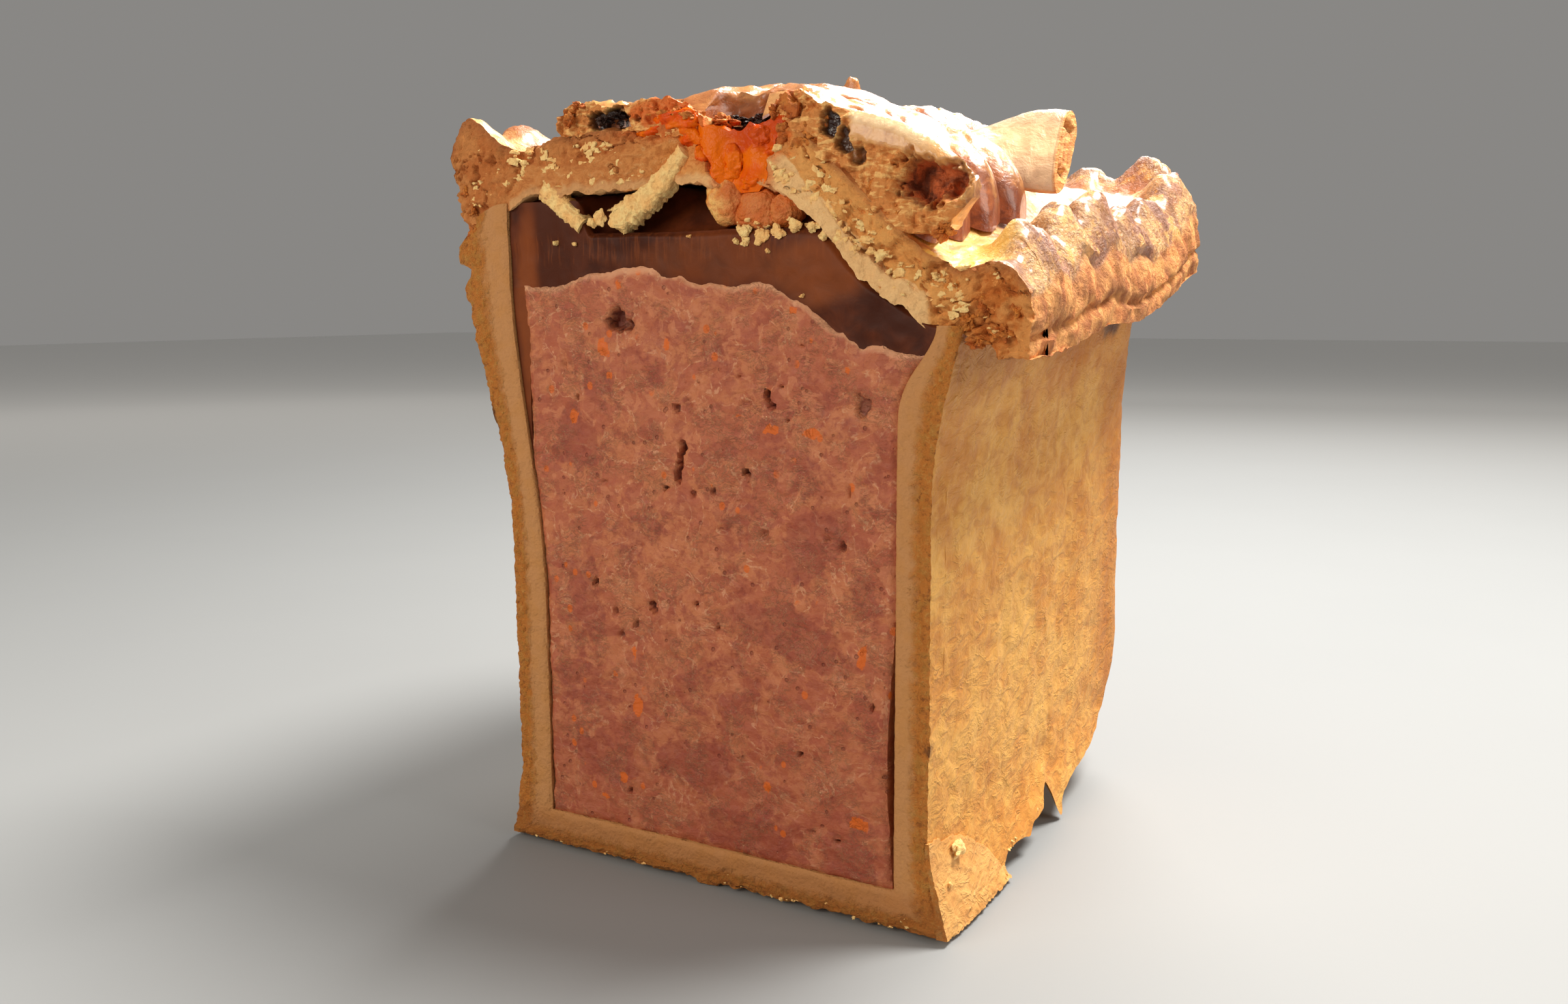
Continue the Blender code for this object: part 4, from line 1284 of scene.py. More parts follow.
@dataclass
class Lobe:
    """One lobe of the leaf: a finger of dough that thickens towards its blunt tip."""

    root: tuple[float, float]
    tip: tuple[float, float]
    width: float
    tip_thick: float
    root_thick: float = 2.4
    roll: float = 0.0              # degrees that the lobe is rolled onto its front edge
    clear: float = 0.0             # how far a rolled-up tip stands clear of the lid
    seed: int = 0

    def worn(self, x: Array, height: Array) -> Array:
        """How far behind the cut the lobe starts, with the back of the open bubble."""
        return 3.2 + 3.4 * spots(x, height, ((34.4, 101.7, 5.0, 4.2, 1.0),))

    def point(self, u: Array, v: Array, w: Array) -> Point:
        """A point of the lobe: u along it, v across it, w upwards."""
        root, tip = np.array(self.root), np.array(self.tip)
        run = tip - root
        length = math.hypot(*run)
        blunt = np.sqrt(np.clip(1 - (self.clear == 0) * np.maximum(0, u - 0.8) ** 2 / 0.0402, 0.02, 1))
        across = (2 * v - 1) * self.width / 2 * (0.7 + 0.3 * ease(u / 0.5)) * (0.4 + 0.6 * blunt)
        tilt = math.radians(self.roll) * ease((u - 0.3) / 0.65)
        flat = across * np.cos(tilt)
        x = root[0] + run[0] * u - run[1] / length * flat
        depth = root[1] + run[1] * u + run[0] / length * flat
        dome = np.sqrt(np.clip(1 - 0.86 * np.abs(2 * v - 1) ** 2.4, 0.03, 1)) * (0.3 + 0.7 * blunt)
        thick = (self.root_thick + (self.tip_thick - self.root_thick) * ease(u)) * dome
        raised = (self.width / 2 + across) * np.sin(tilt) + self.clear * ease((u - 0.4) / 0.6)
        thick = thick * (1 + 0.12 * Noise(4.5, 40 + self.seed).lumps(x, depth, 0))
        low = FORM.lid_top(x, depth) + 0.3 + raised
        fine = 0.25 * Noise(1.9, 60).lumps(x, depth, 0) - 0.3 * Noise(2.6, 69).ridges(x, depth, 0)
        if self.clear:
            oval = np.sqrt(np.clip(1 - np.abs(2 * v - 1) ** 3.4, 0.05, 1)) * (0.72 + 0.28 * v)
            offset = (w - 0.5) * (self.tip_thick * oval * ease(0.35 + u) + fine)
            inward = 1.1 * self.layers(u, v, w) * (u > 0.995) + 0.35 * offset * u**4
            x = x + run[1] / length * np.sin(tilt) * offset - run[0] / length * inward
            depth = depth - run[0] / length * np.sin(tilt) * offset - run[1] / length * inward
            return x, depth, low + self.tip_thick / 2 + np.cos(tilt) * offset
        flat_lobe = float(self.tip_thick < 6)
        crease = 0.9 * bump((2 * v - 1) / 0.2) + 0.35 * np.abs(np.sin(22 * u - 3 * np.abs(2 * v - 1)))
        height = low + (thick + 0.7) * w + fine * w - crease * flat_lobe * w * ease(u / 0.3)
        depth = np.maximum(depth, self.worn(x, height))
        return x, depth, np.minimum(height, leaf_line(x, depth) + 0.4 * w)

    def layers(self, u: Array, v: Array, w: Array) -> Array:
        """The gaps between the layers of a rolled-up tip, 0 to 1."""
        along, across = np.abs(2 * v - 1.06), 2 * w - 1
        bent = across + 0.16 * np.sin(7 * v)
        ring = bump((np.maximum(along * 1.12, np.abs(bent)) - 0.6) / 0.17)
        return np.clip(ring + bump((bent - 0.08) / 0.15) * ease((0.62 - along) / 0.15), 0, 1)

    def marks(self, u: Array, v: Array, w: Array, x: Array, depth: Array, height: Array) -> Marks:
        """Tip, crest and rolled-up end of the lobe; the rolled end gets a painted highlight and painted shade
        in the gaps of its layers.
        """
        rolled = (u > 0.995) * float(self.clear > 0)
        return {"tip": u * (self.clear == 0), "ridge": bump(2 * v - 1) * ease(w), "fold": rolled,
                "shine": np.full_like(x, 0.8 * (self.clear > 0)), "pit": self.layers(u, v, w) * rolled}


@dataclass
class DoughLeaf:
    """The leaf of dough on the lid: a rib, twelve lobes and a small raised flake."""

    cells: tuple[int, int, int] = (60, 30, 14)
    fine: tuple[int, int, int] = (60, 72, 44)
    rib_cells: tuple[int, int, int] = (60, 72, 10)
    flake_cells: tuple[int, int, int] = (8, 8, 10)
    lobes: list[Lobe] = field(default_factory=lambda: [
        Lobe((9, 4), (33.5, 8), 10.0, 9.5),
        Lobe((9, 10), (34.5, 14.5), 9.5, 9.0, seed=1),
        Lobe((9, 19), (35.5, 23), 9.5, 9.0, roll=4, seed=2),
        Lobe((9, 27), (36.5, 31), 9.5, 8.5, roll=8, seed=3),
        Lobe((9, 37), (39.6, 40), 15.8, 4.4, roll=52, clear=3.3, seed=4),
        Lobe((4, 50), (22, 68), 13.0, 5.4, root_thick=4.0, seed=5),
        Lobe((-4, 2), (-23.5, 4), 12.0, 4.4, seed=6),
        Lobe((-4, 12), (-33, 15), 10.0, 5.0, seed=7),
        Lobe((-4, 22), (-33, 28), 10.0, 5.0, seed=8),
        Lobe((-4, 32), (-30, 41), 10.5, 5.0, seed=9),
        Lobe((-4, 42), (-25, 55), 11.0, 5.0, seed=10),
        Lobe((-1, 50), (-10, 70), 12.0, 5.0, seed=11),
    ])

    def rib(self, u: Array, v: Array, w: Array) -> Point:
        """A point of the rib from which the lobes spring."""
        depth = 56 * v
        x = 4 + (2 * u - 1) * (13 - 5 * v)
        dome = (1 - 0.6 * np.abs(2 * u - 1) ** 3) * (1 - 0.35 * v**6) - 0.12 * bump((2 * u - 1) / 0.16)
        lump = 0.45 * Noise(3.5, 62).lumps(x, depth, 0)
        height = FORM.lid_top(x, depth) + 0.3 + (4.6 * dome + lump) * w
        ring = np.clip((FORM.hole_radius[1] * 1.05) ** 2 - (x - FORM.hole_x) ** 2, 0, None) ** 0.5
        crumb = 1.6 * Noise(1.5, 63, 4).ridges(x, 0, height)
        depth = depth + (ring + crumb + 2.5) * fade(depth / 20)
        return x, depth, np.minimum(height, leaf_line(x, depth) + 0.4 * w)

    def rib_marks(self, u: Array, v: Array, w: Array, x: Array, depth: Array, height: Array) -> Marks:
        """The crest of the rib."""
        return {"ridge": 0.6 * w}

    def flake(self, u: Array, v: Array, w: Array) -> Point:
        """A point of the small raised flake behind the hole."""
        swirl = 0.5 * Noise(2, 64).lumps(10 * u, 10 * v, 10 * w)
        narrow = 1 - 0.72 * w**0.7
        x = 4 + (2 * u - 1) * 3.0 * narrow + swirl
        depth = 40 + (2 * v - 1) * 2.6 * narrow
        return x, depth, 116.6 + 5.7 * w - 0.6 * np.abs(2 * u - 1) * w

    def build(self) -> None:
        """Makes the leaf."""
        forms = [(f"lobe_{n}", self.fine if lobe.clear else self.cells, lobe.point, lobe.marks)
                 for n, lobe in enumerate(self.lobes)]
        forms += [("rib", self.rib_cells, self.rib, self.rib_marks),
                  ("flake", self.flake_cells, self.flake, self.rib_marks)]
        parts = [Block(name, cells, fresh=False).build(bend, marks) for name, cells, bend, marks in forms]
        dress(join(parts, "dough_leaf"), LeafFinish().make(), "pastry_leaf", angle=70)


@dataclass
class LeafCut:
    """The leaf at the cut: crumbly dough beside the steam hole, with a smooth flank over an open bubble."""

    cells: tuple[int, int, int] = (250, 9, 66)
    thick: float = 6.5
    left: tuple = (
        ((-24.6, 111.2), (-23.9, 110.8), (-20, 110.9), (-10, 110.6), (-4, 109.4), (0, 110.2), (1.2, 110.6)),
        ((-24.6, 111.9), (-23.8, 115.2), (-21, 115.6), (-18, 114.9), (-14.4, 114.3), (-12, 114.5),
         (-9.9, 115), (-6, 115.3), (-2.1, 114), (1.2, 111.4)),
    )
    right: tuple = (
        ((11, 109.4), (13, 107.2), (16, 106.8), (20, 104.6), (25, 100.2), (30, 96), (33, 94.8),
         (36, 95.4), (38.8, 97.6), (40.2, 100.2)),
        ((11, 110.4), (12.3, 112.4), (14.5, 114.5), (16.8, 114.3), (18.9, 112.6), (21, 111.9),
         (23.8, 111.2), (30.2, 109.5), (36.1, 106.3), (39.2, 103.4), (40.2, 101)),
    )
    # The first spot is a void at the left: its dark glossy colour is partly painted shade of the void.
    chars: tuple = ((-15.5, 112.5, 4.2, 1.5, 1), (20.6, 109.6, 1.2, 1.7, 1), (22.8, 107.2, 1, 1.7, 0.9),
                    (24.6, 105.2, 0.9, 1.1, 0.6))
    bubble: tuple = ((33.6, 101.6, 3.4, 2.7, 1), (36.4, 101.9, 2.2, 2, 0.8))
    seeps: tuple = ((-6, 113.4, 5.4, 2.2, 1), (0.5, 112, 3, 2.4, 1))

    def flank(self, x: Array, height: Array, top: Array) -> Array:
        """1 on the smooth flank of the front lobe, 0 on crumb."""
        ragged = 0.5 * Noise(1.6, 125, 3).lumps(x, 0, height)
        return ease((x - 22.5) / 2) * ease((height + ragged - top + 3.9) / 0.8)

    def char(self, x: Array, height: Array) -> Array:
        """Dark glossy blisters, and the dark void at the left, whose darkness is partly painted shade."""
        return spots(x, height, self.chars, 0.4 * Noise(1.2, 122, 3).lumps(x, 0, height), 0.5)

    def open_bubble(self, x: Array, height: Array) -> Array:
        """How far inside the open bubble a place is, 0 to 1."""
        ragged = 0.4 * Noise(1.5, 123, 3).lumps(x, 0, height)
        return spots(x, height, self.bubble, ragged, 0.9)

    def form(self, low: tuple, high: tuple) -> Bend:
        """The form between two drawn lines.

        Args:
            low: Knots of the lower edge.
            high: Knots of the upper edge.

        Returns:
            A bend from the unit box to the form.
        """
        start, end = high[0][0], high[-1][0]

        def bend(u: Array, v: Array, w: Array) -> Point:
            """A point of the leaf's cut."""
            x = start + (end - start) * u
            fine = 0.45 * Noise(1.5, 121, 4).lumps(x, self.thick * v, 0)
            top = profile(high, x, 0.7) + fine * (1 - 0.7 * ease((x - 22) / 3))
            bottom = profile(low, x, 0.7) + 0.5 * Noise(1.7, 124, 3).lumps(x, 0, 0)
            height = bottom + (np.maximum(top, bottom + 0.3) - bottom) * w
            smooth = self.flank(x, height, top)
            chunk = 0.9 * ease((Noise(2.4, 126, 3).lumps(x, 0, height) + 0.1) / 0.5)
            rough = 0.9 * Noise(1.2, 127, 4).ridges(x, 0, height) + chunk
            over = np.clip((height - top + 3.2) / 3.4, 0, 1)
            round_off = 2.4 * (1 - np.sqrt(np.clip(1 - over**2, 0, 1))) * ease((x - 21) / 3)
            deep = 0.15 + rough * (1 - smooth) + 0.25 * smooth + round_off
            deep = deep + 1.6 * self.char(x, height) + 4.4 * self.open_bubble(x, height)
            tail = ease((x - 36) / 4.2)
            deep = deep + 2.4 * tail
            depth = deep + (self.thick - deep) * v * (1 - 0.5 * tail)
            return x, depth, height - v * w
        return bend

    def marks(self, high: tuple) -> Callable[..., Marks]:
        """Marks of one side.

        Args:
            high: Knots of its upper edge.

        Returns:
            A function that marks crumb, skin, bubble and burns, with a painted highlight along the flank and
            painted shade in the crumb's pits.
        """
        def find(u: Array, v: Array, w: Array, x: Array, depth: Array, height: Array) -> Marks:
            """Marks of the points."""
            top = profile(high, x, 0.7)
            smooth = self.flank(x, height, top)
            inner = ease((self.open_bubble(x, height) - 0.25) / 0.4) * (v < 0.3)
            crumb = np.where(v < 0.01, 1 - smooth, 0.0)
            shine = smooth * bump((height - top + 0.9) / 1.5) * ease((37 - x) / 5)
            seep = spots(x, height, self.seeps, 0.4 * Noise(1.6, 128, 3).lumps(x, 0, height), 1.2)
            # The whole cut counts as crest, so its skin is painted golden, partly a painted highlight.
            return {"tip": ease((x - 28) / 10) * 0.92, "ridge": np.full_like(x, 0.9), "fold": crumb,
                    "shine": shine, "seep": seep, "inner": inner, "burn": self.char(x, height) * (v < 0.3),
                    "pit": np.clip((depth - 0.6) / 2.2, 0, 1) * crumb * (1 - inner)}
        return find

    def build(self) -> None:
        """Makes both sides."""
        parts = [Block(f"leaf_cut_{n}", self.cells, fresh=False).build(self.form(low, high), self.marks(high))
                 for n, (low, high) in enumerate((self.left, self.right))]
        dress(join(parts, "leaf_cut"), LeafFinish().make(), "pastry_leaf", angle=70)


@dataclass
class Filling(CutPiece):
    """The block of forcemeat with its voids, ham and spice at the cut."""

    cut_cells: tuple[int, int, int] = (165, 5, 215)
    cells: tuple[int, int, int] = (50, 20, 60)
    split: float = 0.07
    holes: tuple = (
        (-14.3, 84, 1.5, 1.4, 2.2), (-12.6, 83.4, 0.9, 0.7, 1.5), (25.8, 72.8, 1.1, 1.5, 0.9),
        (-3.1, 66, 0.45, 0.9, 1.4), (-3.5, 63.9, 0.35, 0.9, 1.6), (-3.9, 61.6, 0.45, 1.1, 1.6),
        (-6.5, 59.8, 0.6, 0.4, 1.1), (-4, 71.5, 0.4, 0.55, 1), (-2.2, 71.9, 0.8, 0.8, 0.45),
        (11.2, 73.6, 0.35, 0.8, 1.4), (11.8, 72.4, 0.4, 0.5, 1.2), (2, 59.9, 0.3, 0.6, 0.9),
        (10.6, 54.4, 0.55, 0.55, 0.6), (-19.6, 44.5, 0.5, 0.5, 1.4), (-15.7, 40.2, 0.4, 0.7, 0.8),
        (-14.7, 36.8, 0.45, 0.8, 0.9), (-9, 42, 0.5, 0.6, 1.3), (-8.4, 41.3, 0.4, 0.4, 1),
        (22.9, 53.7, 0.5, 0.8, 0.9), (7.5, 63, 0.35, 0.35, 1.4), (7.9, 62.6, 0.25, 0.3, 1),
        (16.2, 23.3, 0.3, 0.3, 1), (-24.5, 77, 0.5, 1.3, 0.5), (-13.8, 12.2, 0.3, 0.3, 1.2),
        (22, 11.5, 0.5, 0.25, 1.2), (6.5, 76.6, 0.2, 0.4, 0.8), (27.5, 31.5, 0.3, 0.7, 0.8),
        (16.5, 80.8, 0.3, 0.3, 0.6), (-17.5, 60, 0.6, 0.35, 0.6), (-1, 43, 0.4, 0.3, 0.9),
        (20.5, 54.5, 0.4, 0.6, 0.6), (13.5, 75, 0.2, 0.2, 0.9), (6.2, 77.6, 0.2, 0.2, 0.9),
        (14.5, 70.5, 0.2, 0.3, 0.8), (24, 61, 0.25, 1, 0.5), (-22, 72.5, 0.25, 0.5, 0.8),
        (2.5, 39.8, 0.35, 0.3, 0.8), (18, 12, 0.6, 0.25, 0.6), (-12, 38.6, 0.3, 0.6, 0.8),
        (3.4, 54.6, 0.3, 0.3, 0.6), (-1.4, 59.2, 0.3, 0.5, 0.8), (7.6, 72.6, 0.9, 0.5, 0.5),
    )
    hams: tuple = (
        (-22.5, 67, 4.5, 5, 1), (-18.5, 75, 3, 6, 0.75), (15.9, 64.5, 7, 5.5, 0.65),
        (17.5, 53, 5, 5, 0.9), (12, 41, 8, 3.5, 0.9), (20, 38, 6, 4, 0.8),
        (-2, 19, 6, 4, 1), (-22, 41, 4, 8, 0.8), (-12, 52, 6, 4, 0.7),
        (6, 56, 4, 4.5, 0.6), (3, 31, 12, 5, 0.6), (25, 8, 5, 5, 0.9),
        (6, 10, 10, 4, 0.8), (-18, 17, 7, 4, 0.75), (26.5, 47, 3, 4, 0.8),
        (23, 71, 5.5, 3.5, 0.6), (-7, 78, 4, 5, 0.6), (-22, 28, 6, 4, 0.7),
        (-12, 79, 4, 4, 0.5), (4, 79, 5, 4, 0.5), (-10, 25, 8, 4, 0.5),
        (-14, 66, 4, 5, 0.5), (8, 47, 5, 3, 0.6), (26, 60, 3.5, 5, 0.5),
    )
    spices: tuple = (
        (-17, 80.2, 1.3, 1.2, 1), (-16, 76, 0.7, 0.6, 0.9), (-22.6, 69.6, 0.9, 1, 1),
        (-5.6, 80.8, 0.6, 1.1, 0.9), (11.8, 69.1, 1.2, 0.7, 1), (18, 69, 1.5, 0.8, 1),
        (6.8, 70.9, 0.9, 0.5, 0.8), (23.6, 77.5, 0.6, 0.6, 0.9), (-12.5, 34, 0.5, 1.9, 0.9),
        (26, 38.5, 0.8, 1.9, 0.9), (-12, 26, 0.9, 1.5, 1), (-15, 14.2, 0.9, 0.9, 1),
        (10.8, 17.4, 0.9, 1.1, 1), (25.6, 14.6, 1.5, 0.9, 0.9), (-18.5, 10.6, 0.9, 0.6, 0.8),
        (15.5, 85.5, 0.7, 0.6, 0.9), (-14, 89.5, 0.9, 0.8, 0.8), (-16, 30.5, 0.7, 0.8, 0.7),
    )

    def point(self, u: Array, v: Array, w: Array) -> Point:
        """A point of the forcemeat."""
        depth = (FORM.length - FORM.right_wall - 1.0) * v
        low = FORM.underside(np.abs(2 * u - 1), np.minimum(depth + 1.2, FORM.length)) + FORM.floor
        low = low - 0.1 + 0.8 * ease((depth - 45) / 10)
        x = (2 * u - 1) * 30
        for _ in range(3):
            top = FORM.meat_top(x, depth) + 0.5 * Noise(2.6, 70, 4).lumps(x, depth, 0)
            height = low + (top - low) * w
            wedge = 2.3 * ease((height - 58) / 26)
            left = FORM.inner_half(-1.0, depth, height) - 0.12 - wedge
            chink = 1.2 * bump((height - 24) / 24) - 0.2 * ease((height - 46) / 6)
            right = FORM.inner_half(1.0, depth, height) - 0.15 - chink
            tuck = 0.8 * ease(depth / 20)
            x = -left + tuck + (left + right - 2 * tuck) * u
        wavy = 0.2 * Noise(3.2, 71).lumps(x, 0, height) + 0.12 * Noise(1.0, 72).lumps(x, 0, height)
        edge = np.minimum(np.minimum(w, 1 - w) * 86, np.minimum(u, 1 - u) * 62)
        worn = 0.5 + wavy + 0.45 * (1 - ease(edge / 0.9)) + self.voids(x, height)
        return x, depth + worn * fade(depth / 9), height

    def voids(self, x: Array, height: Array) -> Array:
        """How deep the voids at the cut are."""
        wobble = 0.5 * Noise(0.9, 73, 3).lumps(x, 0, height)
        return spots(x, height, self.holes, wobble, soft=0.55)

    def marks(self, u: Array, v: Array, w: Array, x: Array, depth: Array, height: Array) -> Marks:
        """Ham, spice, voids and the pale line along the top."""
        near = fade(depth / 6)
        blot = 0.5 * Noise(3.2, 74, 4).lumps(x, 0, height)
        speck = 0.5 * Noise(1.0, 75, 3).lumps(x, 0, height)
        line = ease((w - 0.988 - 0.004 * Noise(4, 76).lumps(x, 0, 0)) / 0.008)
        return {"ham": spots(x, height, self.hams, blot, soft=0.9) * near,
                "spice": spots(x, height, self.spices, speck, soft=0.5) * near,
                "hole": np.clip(self.voids(x, height) / 1.3, 0, 1) * near, "edge": line}

    def build(self) -> None:
        """Makes the cut finely and the rest of the forcemeat behind it."""
        self.halves(("meat_cut", "meat_block"), (), MeatFinish().make(), "meat_filling", "meat", angle=60)


@dataclass
class Jelly:
    """The aspic over the forcemeat and the wedge of it that ran down the left wall."""

    cells: tuple[int, int, int] = (170, 40, 30)
    wedge_cells: tuple[int, int, int] = (6, 24, 60)
    warps: tuple = (None, ((0, 0), (0.5, 0.1), (1, 1)), None)
    lights: tuple = ((3, 92.5, 15, 3, 0.4), (17, 91, 8, 4, 0.75), (-31.5, 84, 2.2, 14, 0.8))

    def top(self, x: Array, depth: Array) -> Array:
        """Top of the aspic: level at the cut and crept up under the lid behind it."""
        crept = 6.5 * ease((depth - 1.6) / 7) * (1 + 0.12 * Noise(9, 83).lumps(x, depth, 0))
        level = FORM.jelly_level + 5.0 * (1 - ease((x + 22) / 3))
        return np.minimum(level + crept, FORM.lid_under(x, depth) - 0.2)

    def point(self, u: Array, v: Array, w: Array) -> Point:
        """A point of the aspic over the meat."""
        depth = (FORM.length - FORM.right_wall - 2.5) * v
        x = (2 * u - 1) * 33
        for _ in range(3):
            low = FORM.meat_top(x, depth) - 0.6
            top = np.maximum(self.top(x, depth) + 0.2 * Noise(6, 80).lumps(x, depth, 0), low + 0.8)
            height = low + (top - low) * w
            left = FORM.inner_half(-1.0, depth, height) - 0.1
            right = FORM.inner_half(1.0, depth, height) - 0.2
            x = -left + (left + right) * u
        worn = 0.95 + 0.2 * Noise(5, 81).lumps(x, 0, height)
        worn = worn + 0.7 * (1 - ease((1 - w) / 0.12)) * ease((x + 24) / 4)
        return x, depth + worn * fade(depth / 9), height

    def wedge(self, u: Array, v: Array, w: Array) -> Point:
        """A point of the wedge."""
        depth = 78 * v
        height = 64 + 25.0 * w
        left = FORM.inner_half(-1.0, depth, height) - 0.1
        wide = 0.2 + 2.6 * ease((height - 62) / 24)
        worn = 0.95 * fade(depth / 9)
        return -left + wide * u, depth + worn, height

    def marks(self, u: Array, v: Array, w: Array, x: Array, depth: Array, height: Array) -> Marks:
        """Where light comes through the aspic."""
        wobble = 0.3 * Noise(7, 82).lumps(x, depth, height)
        return {"light": spots(x, height, self.lights, wobble)}

    def build(self) -> None:
        """Makes the aspic."""
        parts = [Block("aspic_slab", self.cells, self.warps).build(self.point, self.marks),
                 Block("aspic_wedge", self.wedge_cells, self.warps).build(self.wedge, self.marks)]
        dress(join(parts, "aspic_layer"), AspicFinish().make(), "aspic")


def pebble(x: float, depth: float, z: float, sizes: tuple[float, float, float], seed: int,
           rough: float = 0.35, grain: float = 0.9) -> Bend:
    """The form of a rough lump.

    Args:
        x: Its middle across.
        depth: Its middle behind the cut.
        z: Its middle's height.
        sizes: Half its width, depth and height.
        seed: Which of many lumps.
        rough: How uneven it is.
        grain: Size of its unevenness, as a share of the lump.

    Returns:
        A bend from the unit box to the lump.
    """
    def form(u: Array, v: Array, w: Array) -> Point:
        """A point of the lump."""
        ball = np.stack([2 * u - 1, 2 * v - 1, 2 * w - 1])
        ball = ball / np.linalg.norm(ball, axis=0)
        noise = Noise(grain, seed + 5, 4)
        swell = 1 + rough * noise.lumps(*ball) - rough * noise.ridges(*(ball * 1.3))
        px, pd, pz = ball * swell * np.array(sizes)[:, None]
        return x + px, np.maximum(depth + pd, 0.12), z + pz
    return form


def pebbles(name: str, cells: tuple[int, int, int], places: Iterable[tuple], seed: int, rough: float,
            grain: float = 0.9) -> list[bpy.types.Object]:
    """Makes a rough lump at each of many places.

    Args:
        name: What each lump's name starts with.
        cells: As for Block.
        places: Middle and half sizes of each.
        seed: The first lump's seed.
        rough: As for pebble.
        grain: As for pebble.

    Returns:
        The lumps.
    """
    return [Block(f"{name}_{n}", cells).build(pebble(x, depth, z, tuple(sizes), seed + n, rough, grain))
            for n, (x, depth, z, *sizes) in enumerate(places)]


@dataclass
class HoleJelly:
    """The jelly set in the steam hole, baked orange, with a smear beside it."""

    cells: tuple[int, int, int] = (60, 20, 50)
    smears: tuple = (
        (-1.6, 2.4, 109.4, 3.4, 2.1, 2), (-4, 1.7, 111.6, 4.4, 1.7, 1.9), (-8.2, 2.3, 110.5, 2.8, 1.9, 0.9),
        (11.6, 2.6, 106.2, 2.4, 2.2, 2.6), (3.6, 2.5, 104.4, 3.4, 2.2, 2), (8.2, 2.6, 103, 2.8, 2.3, 1.9),
        (0.4, 2.2, 106.8, 1.6, 1.9, 2.4), (9.6, 2, 108.6, 2.2, 1.6, 1.8), (5.6, 2.2, 106.2, 2.2, 1.6, 2.4),
    )

    def plug(self, u: Array, v: Array, w: Array) -> Point:
        """A point of the half round plug."""
        radius = (3.0 + 4.2 * w**0.8) * (1 + 0.12 * Noise(0.24, 92, 3).lumps(v * 0.1, v * 0.1, w))
        x = FORM.hole_x + radius * (2 * u - 1)
        back = np.sqrt(np.clip(1 - (2 * u - 1) ** 2, 0.01, 1)) * radius
        sag = 1.4 * bump((x - 6) / 6) * w
        height = 101.4 + 9.6 * w - sag + 0.8 * Noise(2.2, 91).lumps(x, back * v, 0) * w
        folds = Noise(3.4, 90, 2).lumps(x, 0, height * 0.8)
        worn = 1.0 + folds + 0.6 * w
        return x, worn + (back + 0.4) * v, height

    def build(self) -> None:
        """Makes the plug and its smears."""
        parts = [Block("hole_plug", self.cells).build(self.plug),
                 *pebbles("smear", (28, 20, 24), self.smears, 40, 0.26)]
        dress(join(parts, "hole_jelly"), HoleJellyFinish().make(), "chimney_jelly")


@dataclass
class HoleRim:
    """Browned crumb piled round the steam hole and on the edge of the leaf."""

    lumps: tuple = (
        (15, 2.6, 112.2, 2.6, 2.4, 2.2), (17.4, 2.6, 110, 2, 2.2, 2.2), (14, 2.4, 109, 1.9, 2, 2),
        (16.2, 2.4, 107, 2, 2.1, 1.6), (12.2, 2.8, 112, 1.5, 1.9, 1.3), (18.6, 2.2, 107.4, 1.3, 1.8, 1.3),
        (-4.6, 2.4, 112.6, 2.6, 2.1, 1.5), (-8.6, 2.3, 113.4, 2.2, 2, 1.2), (-1.4, 2.6, 111.9, 1.8, 2.1, 1.1),
        (-22.6, 2.1, 112.9, 1.5, 1.9, 1.7), (-21.2, 2, 114.9, 1.3, 1.7, 0.9), (2.6, 3.4, 111.4, 1.9, 2, 1),
        (27, 1.9, 100.9, 1.6, 1.6, 1.3), (30.4, 1.8, 97.9, 1.5, 1.5, 1.2), (36.6, 1.9, 95.4, 1.6, 1.5, 1.2),
        (38.5, 1.7, 88.6, 1.8, 1.4, 1.2), (42.6, 1.7, 86, 1.5, 1.4, 1.6), (44.8, 1.9, 82.6, 1.7, 1.5, 1.4),
        (41.5, 1.8, 81.4, 1.5, 1.5, 0.9), (47, 2.2, 85.2, 1.4, 1.5, 1.6), (40.2, 1.6, 84.2, 1.3, 1.3, 1.2),
        (-42.4, 1.9, 100.4, 1.7, 1.7, 1.9), (-41.6, 1.8, 97.4, 1.5, 1.6, 1.7),
        (-43.6, 1.8, 103.6, 1.6, 1.6, 1.7),
    )

    charred: tuple = (
        (2.6, 5.4, 111.5, 2.3, 1.7, 0.8), (5.6, 6.4, 111.4, 2.6, 1.6, 0.9), (8.6, 5.6, 111.6, 1.8, 1.6, 1),
        # Dark lumps in the void at the left: partly painted shade of the void.
        (-14.6, 2, 113.2, 1.5, 1.2, 0.7), (-16.8, 2, 112.7, 1.3, 1.2, 0.8),
    )

    def pile(self, places: tuple, name: str, finish: CrumbFinish) -> None:
        """Makes one kind of lump.

        Args:
            places: Middle and half sizes of each.
            name: The piece's name.
            finish: Its finish.
        """
        parts = pebbles(name, (30, 18, 30), places, 0, 0.42, 0.6)
        dress(join(parts, name), finish.make(), "pastry_lid")

    def build(self) -> None:
        """Makes the lumps."""
        browned = CrumbFinish("browned crumb", cream=(216, 134, 54), golden=(186, 96, 32),
                              shade=(120, 52, 16))
        charred = CrumbFinish("charred crumb", cream=(64, 42, 34), golden=(40, 22, 16), shade=(22, 12, 8),
                              rough=0.22)
        self.pile(self.lumps, "browned_crumb", browned)
        self.pile(self.charred, "charred_crumb", charred)


